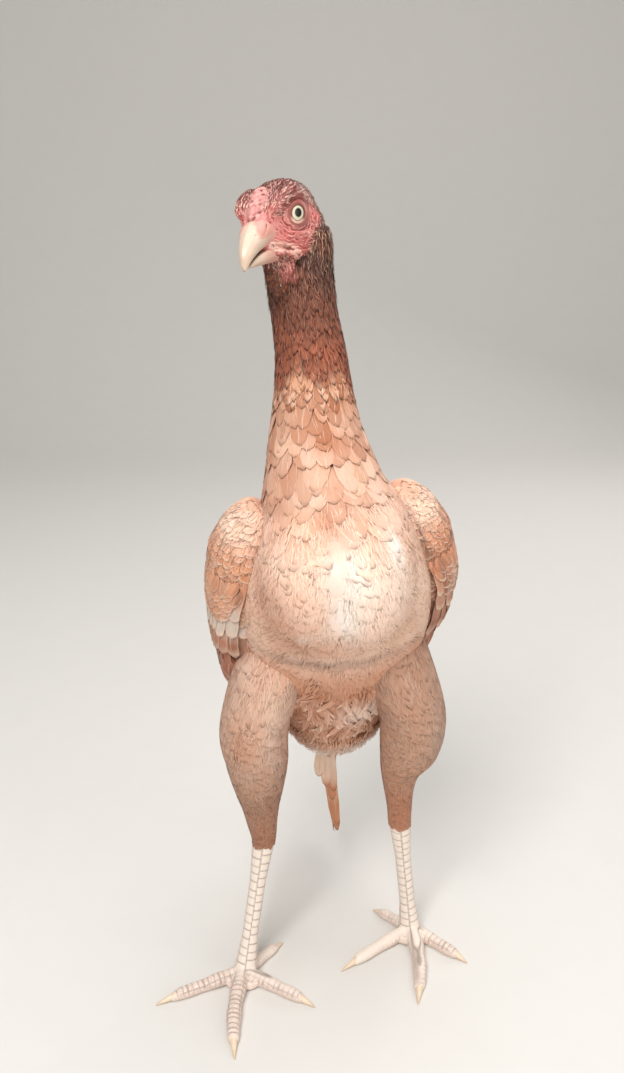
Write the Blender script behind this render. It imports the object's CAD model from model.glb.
import math
from functools import partial

import bpy
import numpy as np
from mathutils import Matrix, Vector


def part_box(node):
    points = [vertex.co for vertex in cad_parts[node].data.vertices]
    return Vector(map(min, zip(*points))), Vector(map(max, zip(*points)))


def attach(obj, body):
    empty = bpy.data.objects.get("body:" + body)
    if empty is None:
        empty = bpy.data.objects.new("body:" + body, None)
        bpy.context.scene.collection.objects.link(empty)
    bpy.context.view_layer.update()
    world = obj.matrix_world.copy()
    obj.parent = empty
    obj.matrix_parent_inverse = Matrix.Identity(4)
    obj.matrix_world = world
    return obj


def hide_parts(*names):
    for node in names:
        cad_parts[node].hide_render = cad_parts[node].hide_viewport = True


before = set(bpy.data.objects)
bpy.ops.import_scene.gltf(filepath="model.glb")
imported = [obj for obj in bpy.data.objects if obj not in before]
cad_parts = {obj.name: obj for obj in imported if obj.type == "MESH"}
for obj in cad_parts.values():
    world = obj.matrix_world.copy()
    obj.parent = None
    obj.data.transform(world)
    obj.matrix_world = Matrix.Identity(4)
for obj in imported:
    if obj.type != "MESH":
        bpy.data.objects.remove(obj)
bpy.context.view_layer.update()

bl_info = {
    "name": "Game hen",
    "version": (1, 0, 0),
    "blender": (4, 5, 0),
    "location": "3D View > Sidebar > Hen",
    "description": "A standing game hen in feather, skin, horn and scale",
    "category": "Object",
}

MM = 0.001

# Sizes shared with the solids, in millimetres and degrees, before the shift to the frame
BODY_MIDDLE_X = 16.0
BODY_YAW = math.radians(7)
BODY_ROLL = math.radians(4)
BODY_PIVOT = np.array([16.0, -30.0, 320.0])
HEAD_CENTRE = np.array([-24.0, -55.0, 577.5])
HEAD_YAW = math.radians(26)
HEAD_PITCH = math.radians(13)
HEAD_ROLL = math.radians(9)
HEAD_SCALE = 1.06
EYE_PLACE = (-0.6, 12.9, 2.6)
SOLID_EYE = (1.0, 12.3, 2.0)
BACK_SQUARENESS = 0.62

# The trunk from the top of the neck to the root of the tail:
# x, y, z, half width, depth in front, depth behind
TRUNK = np.array((
    (-10, -38, 588, 9, 11, 11), (-9.5, -38, 580, 16.5, 16, 17), (-9, -38, 566, 21, 20, 21),
    (-8, -38, 546, 21, 21, 22), (-5, -37, 521, 21, 21.5, 22), (-1, -35, 495, 23, 23, 25),
    (1, -34, 470, 26, 26, 29), (3, -36, 440, 32.5, 32, 33), (7.5, -40, 408, 41.5, 42, 42),
    (14, -42, 374, 56, 54, 53), (16, -38, 338, 66, 60, 61), (17, -28, 303, 66, 46, 62),
    (17, -11, 268, 58, 42, 57), (16.5, 11, 234, 47, 42, 49), (16, 33, 206, 38, 40, 38),
    (15, 52, 181, 27, 27, 25), (14, 65, 160, 16, 16, 15), (13, 72, 143, 9, 9, 9)), float)
SHOULDER_STATION = 5.0
LOBE_CENTRES = np.array(((-2.0, -63.0, 352.0), (34.0, -63.0, 352.0)))
LOBE_RADII = np.array((35.0, 46.0, 51.0))
LOBE_LEAN = math.radians(12)
LOBE_MELT = 4.0

# Legs: hip, knee, hock and foot, then each toe's reach, heading, bow and girth
LEGS = {
    "right": dict(hip=(-30, -32, 272), knee=(-42, -37, 226), hock=(-38, -16, 112), foot=(-54.5, -41, 0),
                  toes=dict(middle=(82, -1, -4, 6.0), inner=(66, 60, 0, 5.4),
                            outer=(73, -65, 0, 5.4), hind=(48, 141, 0, 4.8))),
    "left": dict(hip=(59, -24, 280), knee=(73.5, -26, 234), hock=(71, 8, 112), foot=(83.5, 9, 0),
                 toes=dict(middle=(80, -1, 4, 6.0), inner=(75, -53, 0, 5.4),
                           outer=(56, 50, 0, 5.4), hind=(41, -133, 0, 4.8))),
}
HIP_TOP = (2, 6, 20, 15, 18)
HIP_SIZE = (26, 32)
# Share of the way from knee to hock, half width, half depth, and how far aside the plumage lies
DRUMSTICKS = {
    "right": ((0, 25.5, 35, 0), (0.28, 23, 30, 0), (0.50, 18.2, 24, 0), (0.66, 14.2, 18, 0),
              (0.84, 11.4, 13.5, 0), (1.0, 9.4, 10.8, 0)),
    "left": ((0, 25, 35, 0), (0.30, 22.3, 30, 1), (0.47, 15.4, 23, -4.2), (0.64, 11.8, 17, -4.2),
             (0.84, 9.8, 13, -1.8), (1.0, 9.2, 10.8, 0)),
}
CUFF = (0.12, 8.6, 9.4)
CALF_BOW = 5.0
SHANK_HALF = 6.5

# Sections of the skull and the beak in the head's frame: forward, height, half width, half height
SKULL = ((-33, -8, 6, 7), (-30, -4, 12, 14), (-24, -1.5, 16, 18.5), (-15, -0.5, 18.2, 20.2),
         (-5, -1, 18.4, 19.8), (4, -2, 16.6, 18.0), (11, -3.5, 13, 15.5), (17, -4.5, 9.5, 12),
         (22, -5.5, 6.6, 8.5), (24, -5.5, 4, 5))
UPPER_BEAK = ((9, -6.6, 9.6, 7.6), (11, -5.35, 10.4, 8.25), (14, -3.15, 10.5, 8.95), (19, -1.85, 9.4, 8.05),
              (25, -2.9, 7.8, 6.9), (31, -5.2, 6.0, 5.8), (36.5, -8.5, 4.1, 4.7),
              (40.5, -12.2, 2.3, 3.6), (42, -15.1, 0.8, 1.5))
LOWER_BEAK = ((6, -18.8, 7.4, 3.4), (13, -16.5, 8.0, 3.9), (20, -14.7, 7.5, 4.3),
              (27, -14.3, 6.0, 3.6), (33, -14.6, 3.8, 2.4), (37, -15.3, 1.6, 1.1))

# The folded wing: p runs down it from the shoulder and q across it towards the breast
WING_ROOT = {"right": (0.0, -38.0, 396.0), "left": (0.0, -34.0, 397.0)}
WING_SLOPE = math.radians(68)
WING_AT = (-6, 6, 26, 55, 90, 125, 160, 190, 210, 218)
WING_FRONT = (10, 24, 33, 37, 37, 33, 24, 12, 1, -5)
WING_BEHIND = (-8, -22, -33, -38, -39, -37, -32, -25, -18, -13)
WING_OUT = {
    "right": (58, 73, 84, 89, 92, 92, 84, 62, 52, 47),
    "left": (58, 73, 85, 92, 90.5, 82, 70, 58, 50, 46),
}
WING_THICK = (10, 30, 40, 42, 42, 38, 30, 20, 10, 5)

TAIL_ROOT = np.array([13.4, 70.0, 150.0])
TAIL_AXIS = math.radians(21)
TAIL_SLANT = 0.065


def srgb(red, green, blue):
    """A screen colour, 0 to 255, as linear light: c/12.92 when dark, else ((c+0.055)/1.055)^2.4."""
    c = np.array([red, green, blue]) / 255
    return np.where(c <= 0.04045, c / 12.92, ((c + 0.055) / 1.055) ** 2.4)


def unit(v):
    """Each vector over its own length."""
    v = np.asarray(v, float)
    return v / np.maximum(np.linalg.norm(v, axis=-1, keepdims=True), 1e-9)


def ramp(x, low, high):
    """A smooth step: t*t*(3-2t) where t runs from 0 at low to 1 at high."""
    t = np.clip((np.asarray(x, float) - low) / (high - low), 0, 1)
    return t * t * (3 - 2 * t)


def blend(a, b, share):
    """a where share is 0 and b where it is 1, for colours or points."""
    share = np.asarray(share)[..., None]
    return np.asarray(a) * (1 - share) + np.asarray(b) * share


def smooth_path(values, at):
    """Catmull-Rom curve through rows of values, at fractional row numbers."""
    values = np.asarray(values, float)
    at = np.clip(np.asarray(at, float), 0, len(values) - 1)
    low = np.minimum(at.astype(int), len(values) - 2)
    t = (at - low)[..., None]
    wide = np.vstack([2 * values[0] - values[1], values, 2 * values[-1] - values[-2]])
    p0, p1, p2, p3 = (wide[low + k] for k in range(4))
    return 0.5 * (2 * p1 + (p2 - p0) * t + (2 * p0 - 5 * p1 + 4 * p2 - p3) * t**2
                  + (3 * p1 - p0 - 3 * p2 + p3) * t**3)


def head_axes():
    """The head's forward, left and up, from its yaw, pitch and roll."""
    cp, sp = math.cos(HEAD_PITCH), math.sin(HEAD_PITCH)
    forward = np.array([-math.sin(HEAD_YAW) * cp, -math.cos(HEAD_YAW) * cp, -sp])
    left = np.array([math.cos(HEAD_YAW), -math.sin(HEAD_YAW), 0.0])
    up = np.cross(forward, left)
    c, s = math.cos(HEAD_ROLL), math.sin(HEAD_ROLL)
    return np.stack([forward, c * left + s * up, c * up - s * left])


AXES = head_axes()


def from_head(points):
    """Head places in millimetres to body places: p * axes * scale + the head's centre."""
    return np.asarray(points, float) * HEAD_SCALE @ AXES + HEAD_CENTRE


def to_head(points):
    """Body places back to the head's own."""
    return (np.asarray(points, float) - HEAD_CENTRE) @ AXES.T / HEAD_SCALE


def eye_centre(sign):
    """The middle of the left eyeball for 1 and of the right one for -1."""
    return from_head((EYE_PLACE[0], sign * EYE_PLACE[1], EYE_PLACE[2]))


def frame_shift():
    """How far the solids were moved after they were made, from where the left eye ended up."""
    low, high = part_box("eye_left")
    return (np.array(low) + np.array(high)) / 2 / MM - from_head(SOLID_EYE)


SHIFT = frame_shift()


def to_frame(points):
    """Body millimetres to metres in the model's frame."""
    return (np.asarray(points, float) + SHIFT) * MM


def turned_body(points):
    """The torso's small turn and lean about its pivot, as two rotations."""
    cz, sz = math.cos(BODY_YAW), math.sin(BODY_YAW)
    cy, sy = math.cos(BODY_ROLL), math.sin(BODY_ROLL)
    yaw = np.array([[cz, -sz, 0], [sz, cz, 0], [0, 0, 1]])
    roll = np.array([[cy, 0, -sy], [0, 1, 0], [sy, 0, cy]])
    return (np.asarray(points) - BODY_PIVOT) @ (yaw @ roll).T + BODY_PIVOT


def ray_out(centre, way, middle, radii, axes):
    """Distance along each ray to the far side of an ellipsoid, or -50 where it misses:
    the larger root of |o + s q| = 1, with o and q in the ellipsoid's unit space."""
    o = (centre - middle) @ axes.T / radii
    q = way @ axes.T / radii
    a, b, c = (q * q).sum(-1), (o * q).sum(-1), (o * o).sum(-1) - 1
    disc = b * b - a * c
    return np.where(disc > 0, (-b + np.sqrt(np.maximum(disc, 0))) / a, -50.0)


def larger(a, b, melt):
    """The larger of two lengths, rounded over where they are within melt of each other."""
    h = np.clip(0.5 + 0.5 * (a - b) / melt, 0, 1)
    return b * (1 - h) + a * h + melt * h * (1 - h)


def trunk_surface(at, angle, lift=0.0):
    """The trunk's outer face: a point at a distance from its middle line, where the distance
    is that of half ellipses in front and behind, or of the breast's two lobes where they
    reach further, rounded together. at runs down the trunk and angle runs round it."""
    at, angle = np.broadcast_arrays(np.asarray(at, float), np.asarray(angle, float))
    here = smooth_path(TRUNK, at)
    along = unit(smooth_path(TRUNK[:, :3], at + 0.05) - smooth_path(TRUNK[:, :3], at - 0.05))
    turn = BODY_YAW * np.clip((at - SHOULDER_STATION) / 4.0, 0, 1)
    side = np.stack([np.cos(turn), np.sin(turn), 0 * turn], -1)
    side = unit(side - (side * along).sum(-1, keepdims=True) * along)
    ahead = np.cross(along, side)
    ahead *= np.where(ahead[..., 1:2] > 0, -1.0, 1.0)
    c, s = np.cos(angle), np.sin(angle)
    in_front = s > 0
    square = np.where(in_front, 1.0, BACK_SQUARENESS)
    across = here[..., 3] * np.sign(c) * np.abs(c)**square
    deep = np.where(in_front, here[..., 4], here[..., 5]) * np.sign(s) * np.abs(s)**square
    out = side * across[..., None] + ahead * deep[..., None]
    reach = np.linalg.norm(out, axis=-1)
    way = unit(out)
    axes = np.array([[1, 0, 0], [0, -math.cos(LOBE_LEAN), -math.sin(LOBE_LEAN)],
                     [0, math.sin(LOBE_LEAN), -math.cos(LOBE_LEAN)]])
    for middle in LOBE_CENTRES:
        reach = larger(reach, ray_out(here[..., :3], way, middle, LOBE_RADII, axes), LOBE_MELT)
    return here[..., :3] + way * (reach + lift)[..., None]


def leg_table(side):
    """Rows of x, y, z, half width and half depth, from over the hip to just below the hock."""
    leg = LEGS[side]
    hip, knee, hock, foot = (np.array(leg[k], float) for k in ("hip", "knee", "hock", "foot"))
    share, half, deep, aside = np.array(DRUMSTICKS[side], float).T
    centres = knee + (hock - knee) * share[:, None]
    centres[:, 0] += aside
    centres[:, 1] -= np.sin(np.pi * share) * CALF_BOW
    places = np.vstack([hip + HIP_TOP[:3], hip, centres, hock + (foot - hock) * CUFF[0]])
    return np.column_stack([places, [HIP_TOP[3], HIP_SIZE[0], *half, CUFF[1]],
                            [HIP_TOP[4], HIP_SIZE[1], *deep, CUFF[2]]])


LEG_TABLES = {side: leg_table(side) for side in LEGS}


def leg_surface(side, at, angle, lift=0.0):
    """The feathered thigh: level ellipses along a curve from hip over knee to hock."""
    at, angle = np.broadcast_arrays(np.asarray(at, float), np.asarray(angle, float))
    here = smooth_path(LEG_TABLES[side], at)
    spots = here[..., :3].copy()
    spots[..., 0] += (here[..., 3] + lift) * np.cos(angle)
    spots[..., 1] -= (here[..., 4] + lift) * np.sin(angle)
    return spots


def wing_shell(side, p, q):
    """How far out from the body's middle the wing's outer face lies: a parabola across it."""
    out = np.interp(p, WING_AT, WING_OUT[side])
    front, behind = np.interp(p, WING_AT, WING_FRONT), np.interp(p, WING_AT, WING_BEHIND)
    middle = (front + behind) / 2
    fall = np.where(q > middle, 9.0, 34.0)
    return out - fall * ((q - middle) / 40.0)**2 - 0.07 * np.maximum(q - front + 12, 0)**2


def place_on_wing(side, p, q, out):
    """Wing places to body places: down the sloped wing, across it, and out from the middle."""
    sign = 1 if side == "left" else -1
    down = np.array([0, math.cos(WING_SLOPE), -math.sin(WING_SLOPE)])
    ahead = np.array([0, -math.sin(WING_SLOPE), -math.cos(WING_SLOPE)])
    spots = np.array(WING_ROOT[side]) + p[..., None] * down + q[..., None] * ahead
    spots[..., 0] = BODY_MIDDLE_X + sign * out
    return turned_body(spots)


def wing_face(side, p, q):
    """The wing's outer face at p down it and q across it."""
    p, q = np.broadcast_arrays(np.asarray(p, float), np.asarray(q, float))
    return place_on_wing(side, p, q, wing_shell(side, p, q))


def wing_round(side, p, angle, sunk=0.0):
    """The wing's whole envelope: an angle of 0 is its front edge, 90 degrees its outer face."""
    p, angle = np.broadcast_arrays(np.asarray(p, float), np.asarray(angle, float))
    front = np.interp(p, WING_AT, WING_FRONT) - sunk * 0.6
    behind = np.interp(p, WING_AT, WING_BEHIND) + sunk * 0.6
    thick = np.maximum(np.interp(p, WING_AT, WING_THICK) - sunk * 1.3, 1.5)
    q = (front + behind) / 2 + (front - behind) / 2 * np.cos(angle)
    rise = np.sin(angle)
    level = 0.25 - np.where(rise > 0, 0.25, 0.75) * rise
    return place_on_wing(side, p, q, wing_shell(side, p, q) - sunk - thick * level)


def tail_place(side, down, behind, out):
    """A place in the tail's fan: down its axis, behind it, and out to one side."""
    along = np.array([TAIL_SLANT, math.sin(TAIL_AXIS), -math.cos(TAIL_AXIS)])
    back = np.array([0, math.cos(TAIL_AXIS), math.sin(TAIL_AXIS)])
    spots = np.asarray(down)[..., None] * along + np.asarray(behind)[..., None] * back
    spots[..., 0] += (1 if side == "left" else -1) * out
    return TAIL_ROOT + spots


def ellipsoid_gap(points, centre, radii, axes):
    """Near distance to an ellipsoid: k(k-1)/g, with k the scaled length and g its slope."""
    q = (points - centre) @ np.asarray(axes).T
    k = np.linalg.norm(q / radii, axis=-1)
    g = np.linalg.norm(q / np.square(radii), axis=-1)
    return k * (k - 1) / np.maximum(g, 1e-6)


def melted(a, b, melt):
    """The nearer of two distances, rounded together within melt."""
    return -larger(-a, -b, melt)


def leaning(tilt, toe_in):
    """The head frame's own axes, nose tipped down by tilt and turned in by toe_in degrees."""
    c, s = math.cos(math.radians(tilt)), math.sin(math.radians(tilt))
    rows = np.array([[c, 0, -s], [0, 1, 0], [s, 0, c]])
    c, s = math.cos(math.radians(toe_in)), math.sin(math.radians(toe_in))
    return np.array([rows[0] * c - rows[1] * s, rows[0] * s + rows[1] * c, rows[2]])


# Swellings of the bare skin: forward, out, up, their three radii, tilt, toe-in and melt
FACE_FORMS = (
    (3.0, 12.2, 12.0, 13.5, 5.6, 4.6, 18, 10, 4.0),
    (-8.0, 13.5, 10.0, 8.0, 5.0, 4.5, -8, -8, 5.0),
    (-1.0, 14.6, -9.6, 10.0, 3.6, 2.4, -18, 6, 3.0),
    (-5.0, 12.6, -14.5, 12.0, 5.6, 6.6, 8, 4, 5.0),
    (10.0, 9.8, -17.0, 9.0, 3.2, 2.2, -24, 16, 2.0),
    (9.5, 10.6, -10.6, 8.5, 3.0, 2.0, -30, 14, 2.0),
    (-11.0, 14.4, -12.0, 4.0, 3.4, 7.6, 14, 0, 4.0),
    (12.0, 7.5, 2.5, 6.5, 3.2, 5.0, 40, 24, 3.5),
)
COMB_FORMS = ((18.3, 5.6, 2.9), (15.6, 9.0, 3.2), (12.2, 12.2, 3.3), (8.0, 14.6, 3.2), (3.6, 16.4, 2.8))
WATTLES = ((-14.0, -62.0, 551, 3.8, 3.0, 6.2), (-11.0, -60, 545, 3.0, 2.6, 4.0),
           (-19.0, -65.5, 556, 3.2, 2.6, 4.6), (-26, -65.0, 549, 2.8, 2.4, 4.6))
WATTLE_PATCH = np.array([-14.5, -63.0, 551.0])
WATTLE_SIZE = (7.5, 9.0, 10.0)
HEAD_MIDDLE = np.array([-5.0, 0.0, -4.0])
HEAD_REACH = 46.0


def comb_gap(p):
    """Near distance to the comb: a long low loaf with paired bulbs melted along it."""
    lean = leaning(30, 0)
    comb = ellipsoid_gap(p, (11.0, 0.2, 11.4), np.array([12.6, 4.0, 6.4]), lean)
    for forward, up, size in COMB_FORMS:
        for side in (-1, 1):
            bulb = ellipsoid_gap(p, (forward, side * 2.2 + 0.3, up), np.array([size, size * 0.62, size]),
                                 lean)
            comb = melted(comb, bulb, 1.6)
    return comb


def eye_frame(sign):
    """The eye's long way, its up and the way it faces, in the head's frame."""
    facing = unit(np.array([0.40, sign, 0.0]))
    upward = np.array([0.0, 0.0, 1.0])
    return np.array([np.cross(facing, upward), upward, facing])


def dense(sections, count=90):
    """Section rows on a smooth curve, close enough together for straight steps."""
    return smooth_path(sections, np.linspace(0, len(sections) - 1, count))


def head_gap(p):
    """Near distance from head places to the head's skin: the skull's rounded sections, melted
    with the brows, folds, cheeks, orbits, comb, throat, wattles and the top of the neck."""
    f, y, z = p[..., 0], p[..., 1], p[..., 2]
    rows = dense(SKULL)
    height, half, high = (np.interp(f, rows[:, 0], rows[:, k]) for k in (1, 2, 3))
    k = (np.abs(y / half)**2.3 + np.abs((z - height) / high)**2.3)**(1 / 2.3)
    gap = (k - 1) * np.minimum(half, high)
    gap = np.maximum(gap, np.maximum(f - 23.5, -33 - f))
    body = from_head(p)
    level = TRUNK[::-1]
    middle_x, middle_y, wide, front, behind = (np.interp(body[..., 2], level[:, 2], level[:, c])
                                               for c in (0, 1, 3, 4, 5))
    dx, dy = body[..., 0] - middle_x, body[..., 1] - middle_y
    deep = np.where(dy < 0, front, behind)
    neck = (np.hypot(dx / (wide - 1.6), dy / (deep - 1.6)) - 1) * np.minimum(wide, deep)
    neck = np.maximum(neck, body[..., 2] - TRUNK[0, 2])
    gap = melted(gap, neck / HEAD_SCALE, 5.0)
    throat = ellipsoid_gap(body, np.array([-20.5, -55, 560]), np.array([9.8, 12.6, 25.6]), np.eye(3))
    gap = melted(gap, throat / HEAD_SCALE, 5.0)
    for sign in (-1, 1):
        for forward, out, up, long, wide, high, tilt, toe_in, melt in FACE_FORMS:
            form = ellipsoid_gap(p, (forward, sign * out, up), np.array([long, wide, high]),
                                 leaning(tilt, sign * toe_in))
            gap = melted(gap, form, melt)
        orbit = ellipsoid_gap(p, (EYE_PLACE[0], sign * EYE_PLACE[1], EYE_PLACE[2]),
                              np.array([10.6, 9.6, 6.9]), eye_frame(sign))
        gap = melted(gap, orbit, 1.6)
    gap = melted(gap, comb_gap(p), 2.4)
    for x, y0, z0, *size in WATTLES:
        form = ellipsoid_gap(body, np.array([x, y0, z0]), np.array(size), np.eye(3))
        gap = melted(gap, form / HEAD_SCALE, 1.6)
    return gap


def near_line(p, path):
    """Distance from points to a bent line, the least over its straight pieces, and the share
    of the way along it."""
    best = np.full(p.shape[:-1], 1e3)
    share = np.zeros(p.shape[:-1])
    path = np.asarray(path, float)
    for k in range(len(path) - 1):
        a, b = path[k], path[k + 1]
        t = np.clip(((p - a) @ (b - a)) / ((b - a) @ (b - a)), 0, 1)
        d = np.linalg.norm(p - a - t[..., None] * (b - a), axis=-1)
        share = np.where(d < best, (k + t) / (len(path) - 1), share)
        best = np.minimum(best, d)
    return best, share


def wavy(p, seed, size, count=5):
    """Smooth random ripples: a sum of sines along random ways with wavelengths near size."""
    draw = np.random.default_rng(seed)
    total = np.zeros(p.shape[:-1])
    for _ in range(count):
        way = unit(draw.normal(size=3)) * 2 * np.pi / (size * draw.uniform(0.7, 1.5))
        total += np.sin(p @ way + draw.uniform(0, 6.28))
    return total / count


MOUTH = ((20.0, 8.6, -10.0), (15.0, 10.4, -11.6), (10.0, 12.0, -14.2), (6.4, 13.0, -16.6),
         (3.6, 13.7, -20.0))


def face_lines(p):
    """Height of the skin's fine folds over the head, in millimetres: rings round each eye,
    broken by noise and strongest below and behind it, creases at the brow and the mouth,
    upright pleats on the wattles, and small lumps all over."""
    side = np.where(p[..., 1] < 0, -1.0, 1.0)
    mirrored = p.copy()
    mirrored[..., 1] = np.abs(p[..., 1])
    away = mirrored - np.array(EYE_PLACE)
    flat = np.hypot(away[..., 0] * 0.92, away[..., 2])
    face = ramp(p[..., 1] * side, 4.0, 9.0)
    warp = wavy(p, 11, 9.0) * 2.0 + wavy(p, 12, 4.0) * 1.1
    below = ramp(-away[..., 2] + 0.35 * np.abs(away[..., 0]), -4, 5)
    rings = np.sin((flat + 0.7 * warp) * 2 * np.pi / 1.9)
    breaks = 0.45 + 0.55 * np.clip(wavy(p, 13, 2.6) * 2.0, -1, 1)
    zone = face * ramp(flat, 6.6, 8.4) * (1 - ramp(flat, 28, 36)) * ramp(p[..., 0], -34, -27)
    height = 0.48 * rings * breaks * zone * (0.3 + 0.7 * below)
    lid_crease = np.exp(-((flat - 6.9) / 0.5)**2) * face * ramp(away[..., 2], -2, 3)
    height -= 0.5 * lid_crease
    lower_crease = np.exp(-((flat - 10.0 - 0.6 * wavy(p, 14, 8.0)) / 0.6)**2) * face * below
    height -= 0.4 * lower_crease * ramp(p[..., 0], -14, -8)
    d, along = near_line(mirrored, MOUTH)
    height -= 1.3 * np.exp(-(d / 0.7)**2) * (1 - 0.4 * along)
    height += 0.45 * np.exp(-((d - 1.9) / 0.9)**2)
    brow, _ = near_line(mirrored, ((13.0, 9.0, 1.0), (6.0, 12.6, 5.2), (0.0, 14.6, 7.6), (-8.0, 16.0, 8.4)))
    height -= 0.8 * np.exp(-(brow / 0.8)**2)
    body = from_head(p)
    throat = ramp(560 - body[..., 2], -4, 8) * ramp(-52 - body[..., 1], -4, 4)
    pleats = np.sin((body[..., 0] + 0.5 * body[..., 2] + wavy(p, 15, 5.0) * 3.0) * 2 * np.pi / 3.4)
    height += 0.34 * pleats * throat * (0.5 + 0.5 * wavy(p, 19, 3.0))
    crown = ramp(p[..., 2], 6, 12)
    height += 0.14 * wavy(p, 16, 2.2, 9) + 0.12 * crown * wavy(p, 17, 1.3, 9)
    height += 0.55 * wavy(p, 18, 2.8, 7) * (1 - ramp(comb_gap(p), 0.0, 2.0)) * ramp(p[..., 0], -2, 4)
    return height


def head_ways(v, u):
    """Directions from the head's middle: v turns from the beak backwards and u round."""
    return np.stack([np.cos(v), np.sin(v) * np.cos(u), np.sin(v) * np.sin(u)], -1)


HEAD_ROWS, HEAD_AROUND = 220, 300
HEAD_GRID = head_ways(*np.broadcast_arrays(np.linspace(0, np.pi, HEAD_ROWS)[:, None],
                                           np.linspace(0, 2 * np.pi, HEAD_AROUND, endpoint=False)))
RAY_STEPS = 26


def eye_opening(p):
    """How far inside the lids' opening head places lie: 1 at its middle, 0 at its edge."""
    inside = np.zeros(p.shape[:-1])
    for sign in (-1, 1):
        q = (p - np.array([EYE_PLACE[0], sign * EYE_PLACE[1], EYE_PLACE[2]])) @ eye_frame(sign).T
        here = 1 - np.hypot(q[..., 0] / 6.0, q[..., 1] / 5.8)
        inside = np.maximum(inside, np.where(q[..., 2] > 0, here, 0))
    return np.maximum(inside, 0)


def head_distances():
    """The skin's distance from the head's middle on a grid of directions: each ray steps
    inwards from far out by the near distance until it meets the skin."""
    reach = np.full(HEAD_GRID.shape[:-1], HEAD_REACH)
    for _ in range(RAY_STEPS):
        reach -= 0.85 * np.clip(head_gap(HEAD_MIDDLE + HEAD_GRID * reach[..., None]), -1.0, 12.0)
        reach = np.clip(reach, 5.0, HEAD_REACH)
    spots = HEAD_MIDDLE + HEAD_GRID * reach[..., None]
    inside = reach < HEAD_REACH - 1.5
    reach = reach + np.where(inside, face_lines(spots), 0.0)
    reach -= 5.0 * ramp(eye_opening(spots), 0.0, 0.18)
    return reach


class HeadShape:
    """The head's skin as a grid of distances, read between its points by straight steps."""

    def __init__(self):
        self.reach = head_distances()

    def surface(self, v, u):
        """Body places of the skin at angles v and u."""
        row = np.clip(np.asarray(v) / np.pi * (HEAD_ROWS - 1), 0, HEAD_ROWS - 1.001)
        column = (np.asarray(u) / (2 * np.pi) * HEAD_AROUND) % HEAD_AROUND
        r, c = row.astype(int), column.astype(int) % HEAD_AROUND
        fr, fc = row - r, column - np.floor(column)
        c2 = (c + 1) % HEAD_AROUND
        reach = ((self.reach[r, c] * (1 - fc) + self.reach[r, c2] * fc) * (1 - fr)
                 + (self.reach[r + 1, c] * (1 - fc) + self.reach[r + 1, c2] * fc) * fr)
        return from_head(HEAD_MIDDLE + head_ways(v, u) * reach[..., None])


HEAD = HeadShape()


def grid_quads(rows, around, wrap=True):
    """Four corners of each cell of a grid, closed round when wrap is set."""
    number = np.arange(rows * around).reshape(rows, around)
    if wrap:
        number = np.hstack([number, number[:, :1]])
    return np.stack([number[:-1, :-1], number[:-1, 1:], number[1:, 1:], number[1:, :-1]],
                    -1).reshape(-1, 4)


def closed_tube(rings):
    """Points and faces of a tube over rings of like count, with both ends capped."""
    rings = np.asarray(rings, float)
    rows, around, _ = rings.shape
    caps = np.stack([np.arange(around)[::-1], (rows - 1) * around + np.arange(around)])
    return rings.reshape(-1, 3), [grid_quads(rows, around), caps]


def signed_volume(points, faces):
    """Six times the volume inside closed faces, positive when they point outwards."""
    total = 0.0
    for group in faces:
        a = points[group[:, 0]]
        for k in range(1, group.shape[1] - 1):
            b, c = points[group[:, k]], points[group[:, k + 1]]
            total += np.einsum("ij,ij->", a, np.cross(b, c))
    return total


def sharpen_rims(mesh, ring, rims):
    """Marks the edges that run along the rims of vanes as sharp, so that a vane's upper face
    is lit by its own slope up to its rim."""
    ends = np.zeros(len(mesh.edges) * 2, np.int32)
    mesh.edges.foreach_get("vertices", ends)
    place = ends.reshape(-1, 2) % ring
    sharp = (place[:, 0] == place[:, 1]) & np.isin(place[:, 0], rims)
    layer = mesh.attributes.new("sharp_edge", "BOOLEAN", "EDGE")
    layer.data.foreach_set("value", sharp)


def make_piece(name, points, faces, finish, uvs=None, colours=None, vectors=None, nodes=(),
               rims=None):
    """A mesh object from whole arrays, smooth, facing outwards, riding on the bird."""
    points = np.asarray(points, float).reshape(-1, 3)
    if signed_volume(points, faces) < 0:
        faces = [group[:, ::-1] for group in faces]
    mesh = bpy.data.meshes.new(name)
    corners = np.concatenate([group.ravel() for group in faces]).astype(np.int32)
    sizes = np.concatenate([np.full(len(group), group.shape[1]) for group in faces])
    starts = np.concatenate([[0], np.cumsum(sizes)[:-1]]).astype(np.int32)
    mesh.vertices.add(len(points))
    mesh.vertices.foreach_set("co", points.astype(np.float32).ravel())
    mesh.loops.add(len(corners))
    mesh.loops.foreach_set("vertex_index", corners)
    mesh.polygons.add(len(sizes))
    mesh.polygons.foreach_set("loop_start", starts)
    mesh.update(calc_edges=True)
    for label, values in (uvs or {}).items():
        layer = mesh.uv_layers.new(name=label)
        layer.data.foreach_set("uv", np.asarray(values, np.float32)[corners].ravel())
    for label, values in (colours or {}).items():
        layer = mesh.attributes.new(label, "FLOAT_COLOR", "POINT")
        full = np.column_stack([values, np.ones(len(values))])
        layer.data.foreach_set("color", full.astype(np.float32).ravel())
    for label, values in (vectors or {}).items():
        layer = mesh.attributes.new(label, "FLOAT_VECTOR", "POINT")
        layer.data.foreach_set("vector", np.asarray(values, np.float32).ravel())
    mesh.shade_smooth()
    if rims:
        sharpen_rims(mesh, *rims)
    mesh.materials.append(finish)
    thing = bpy.data.objects.new(name, mesh)
    bpy.context.scene.collection.objects.link(thing)
    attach(thing, "root")
    if nodes:
        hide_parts(*nodes)
    return thing


def tube_piece(name, rings, finish, node, marks=None, uvs=None):
    """A closed tube as a piece of its own, in place of one node of the solids."""
    points, faces = closed_tube(to_frame(rings))
    vectors = None if marks is None else {"marks": marks.reshape(-1, 3)}
    return make_piece(name, points, faces, finish, uvs, vectors=vectors, nodes=(node,))


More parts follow.
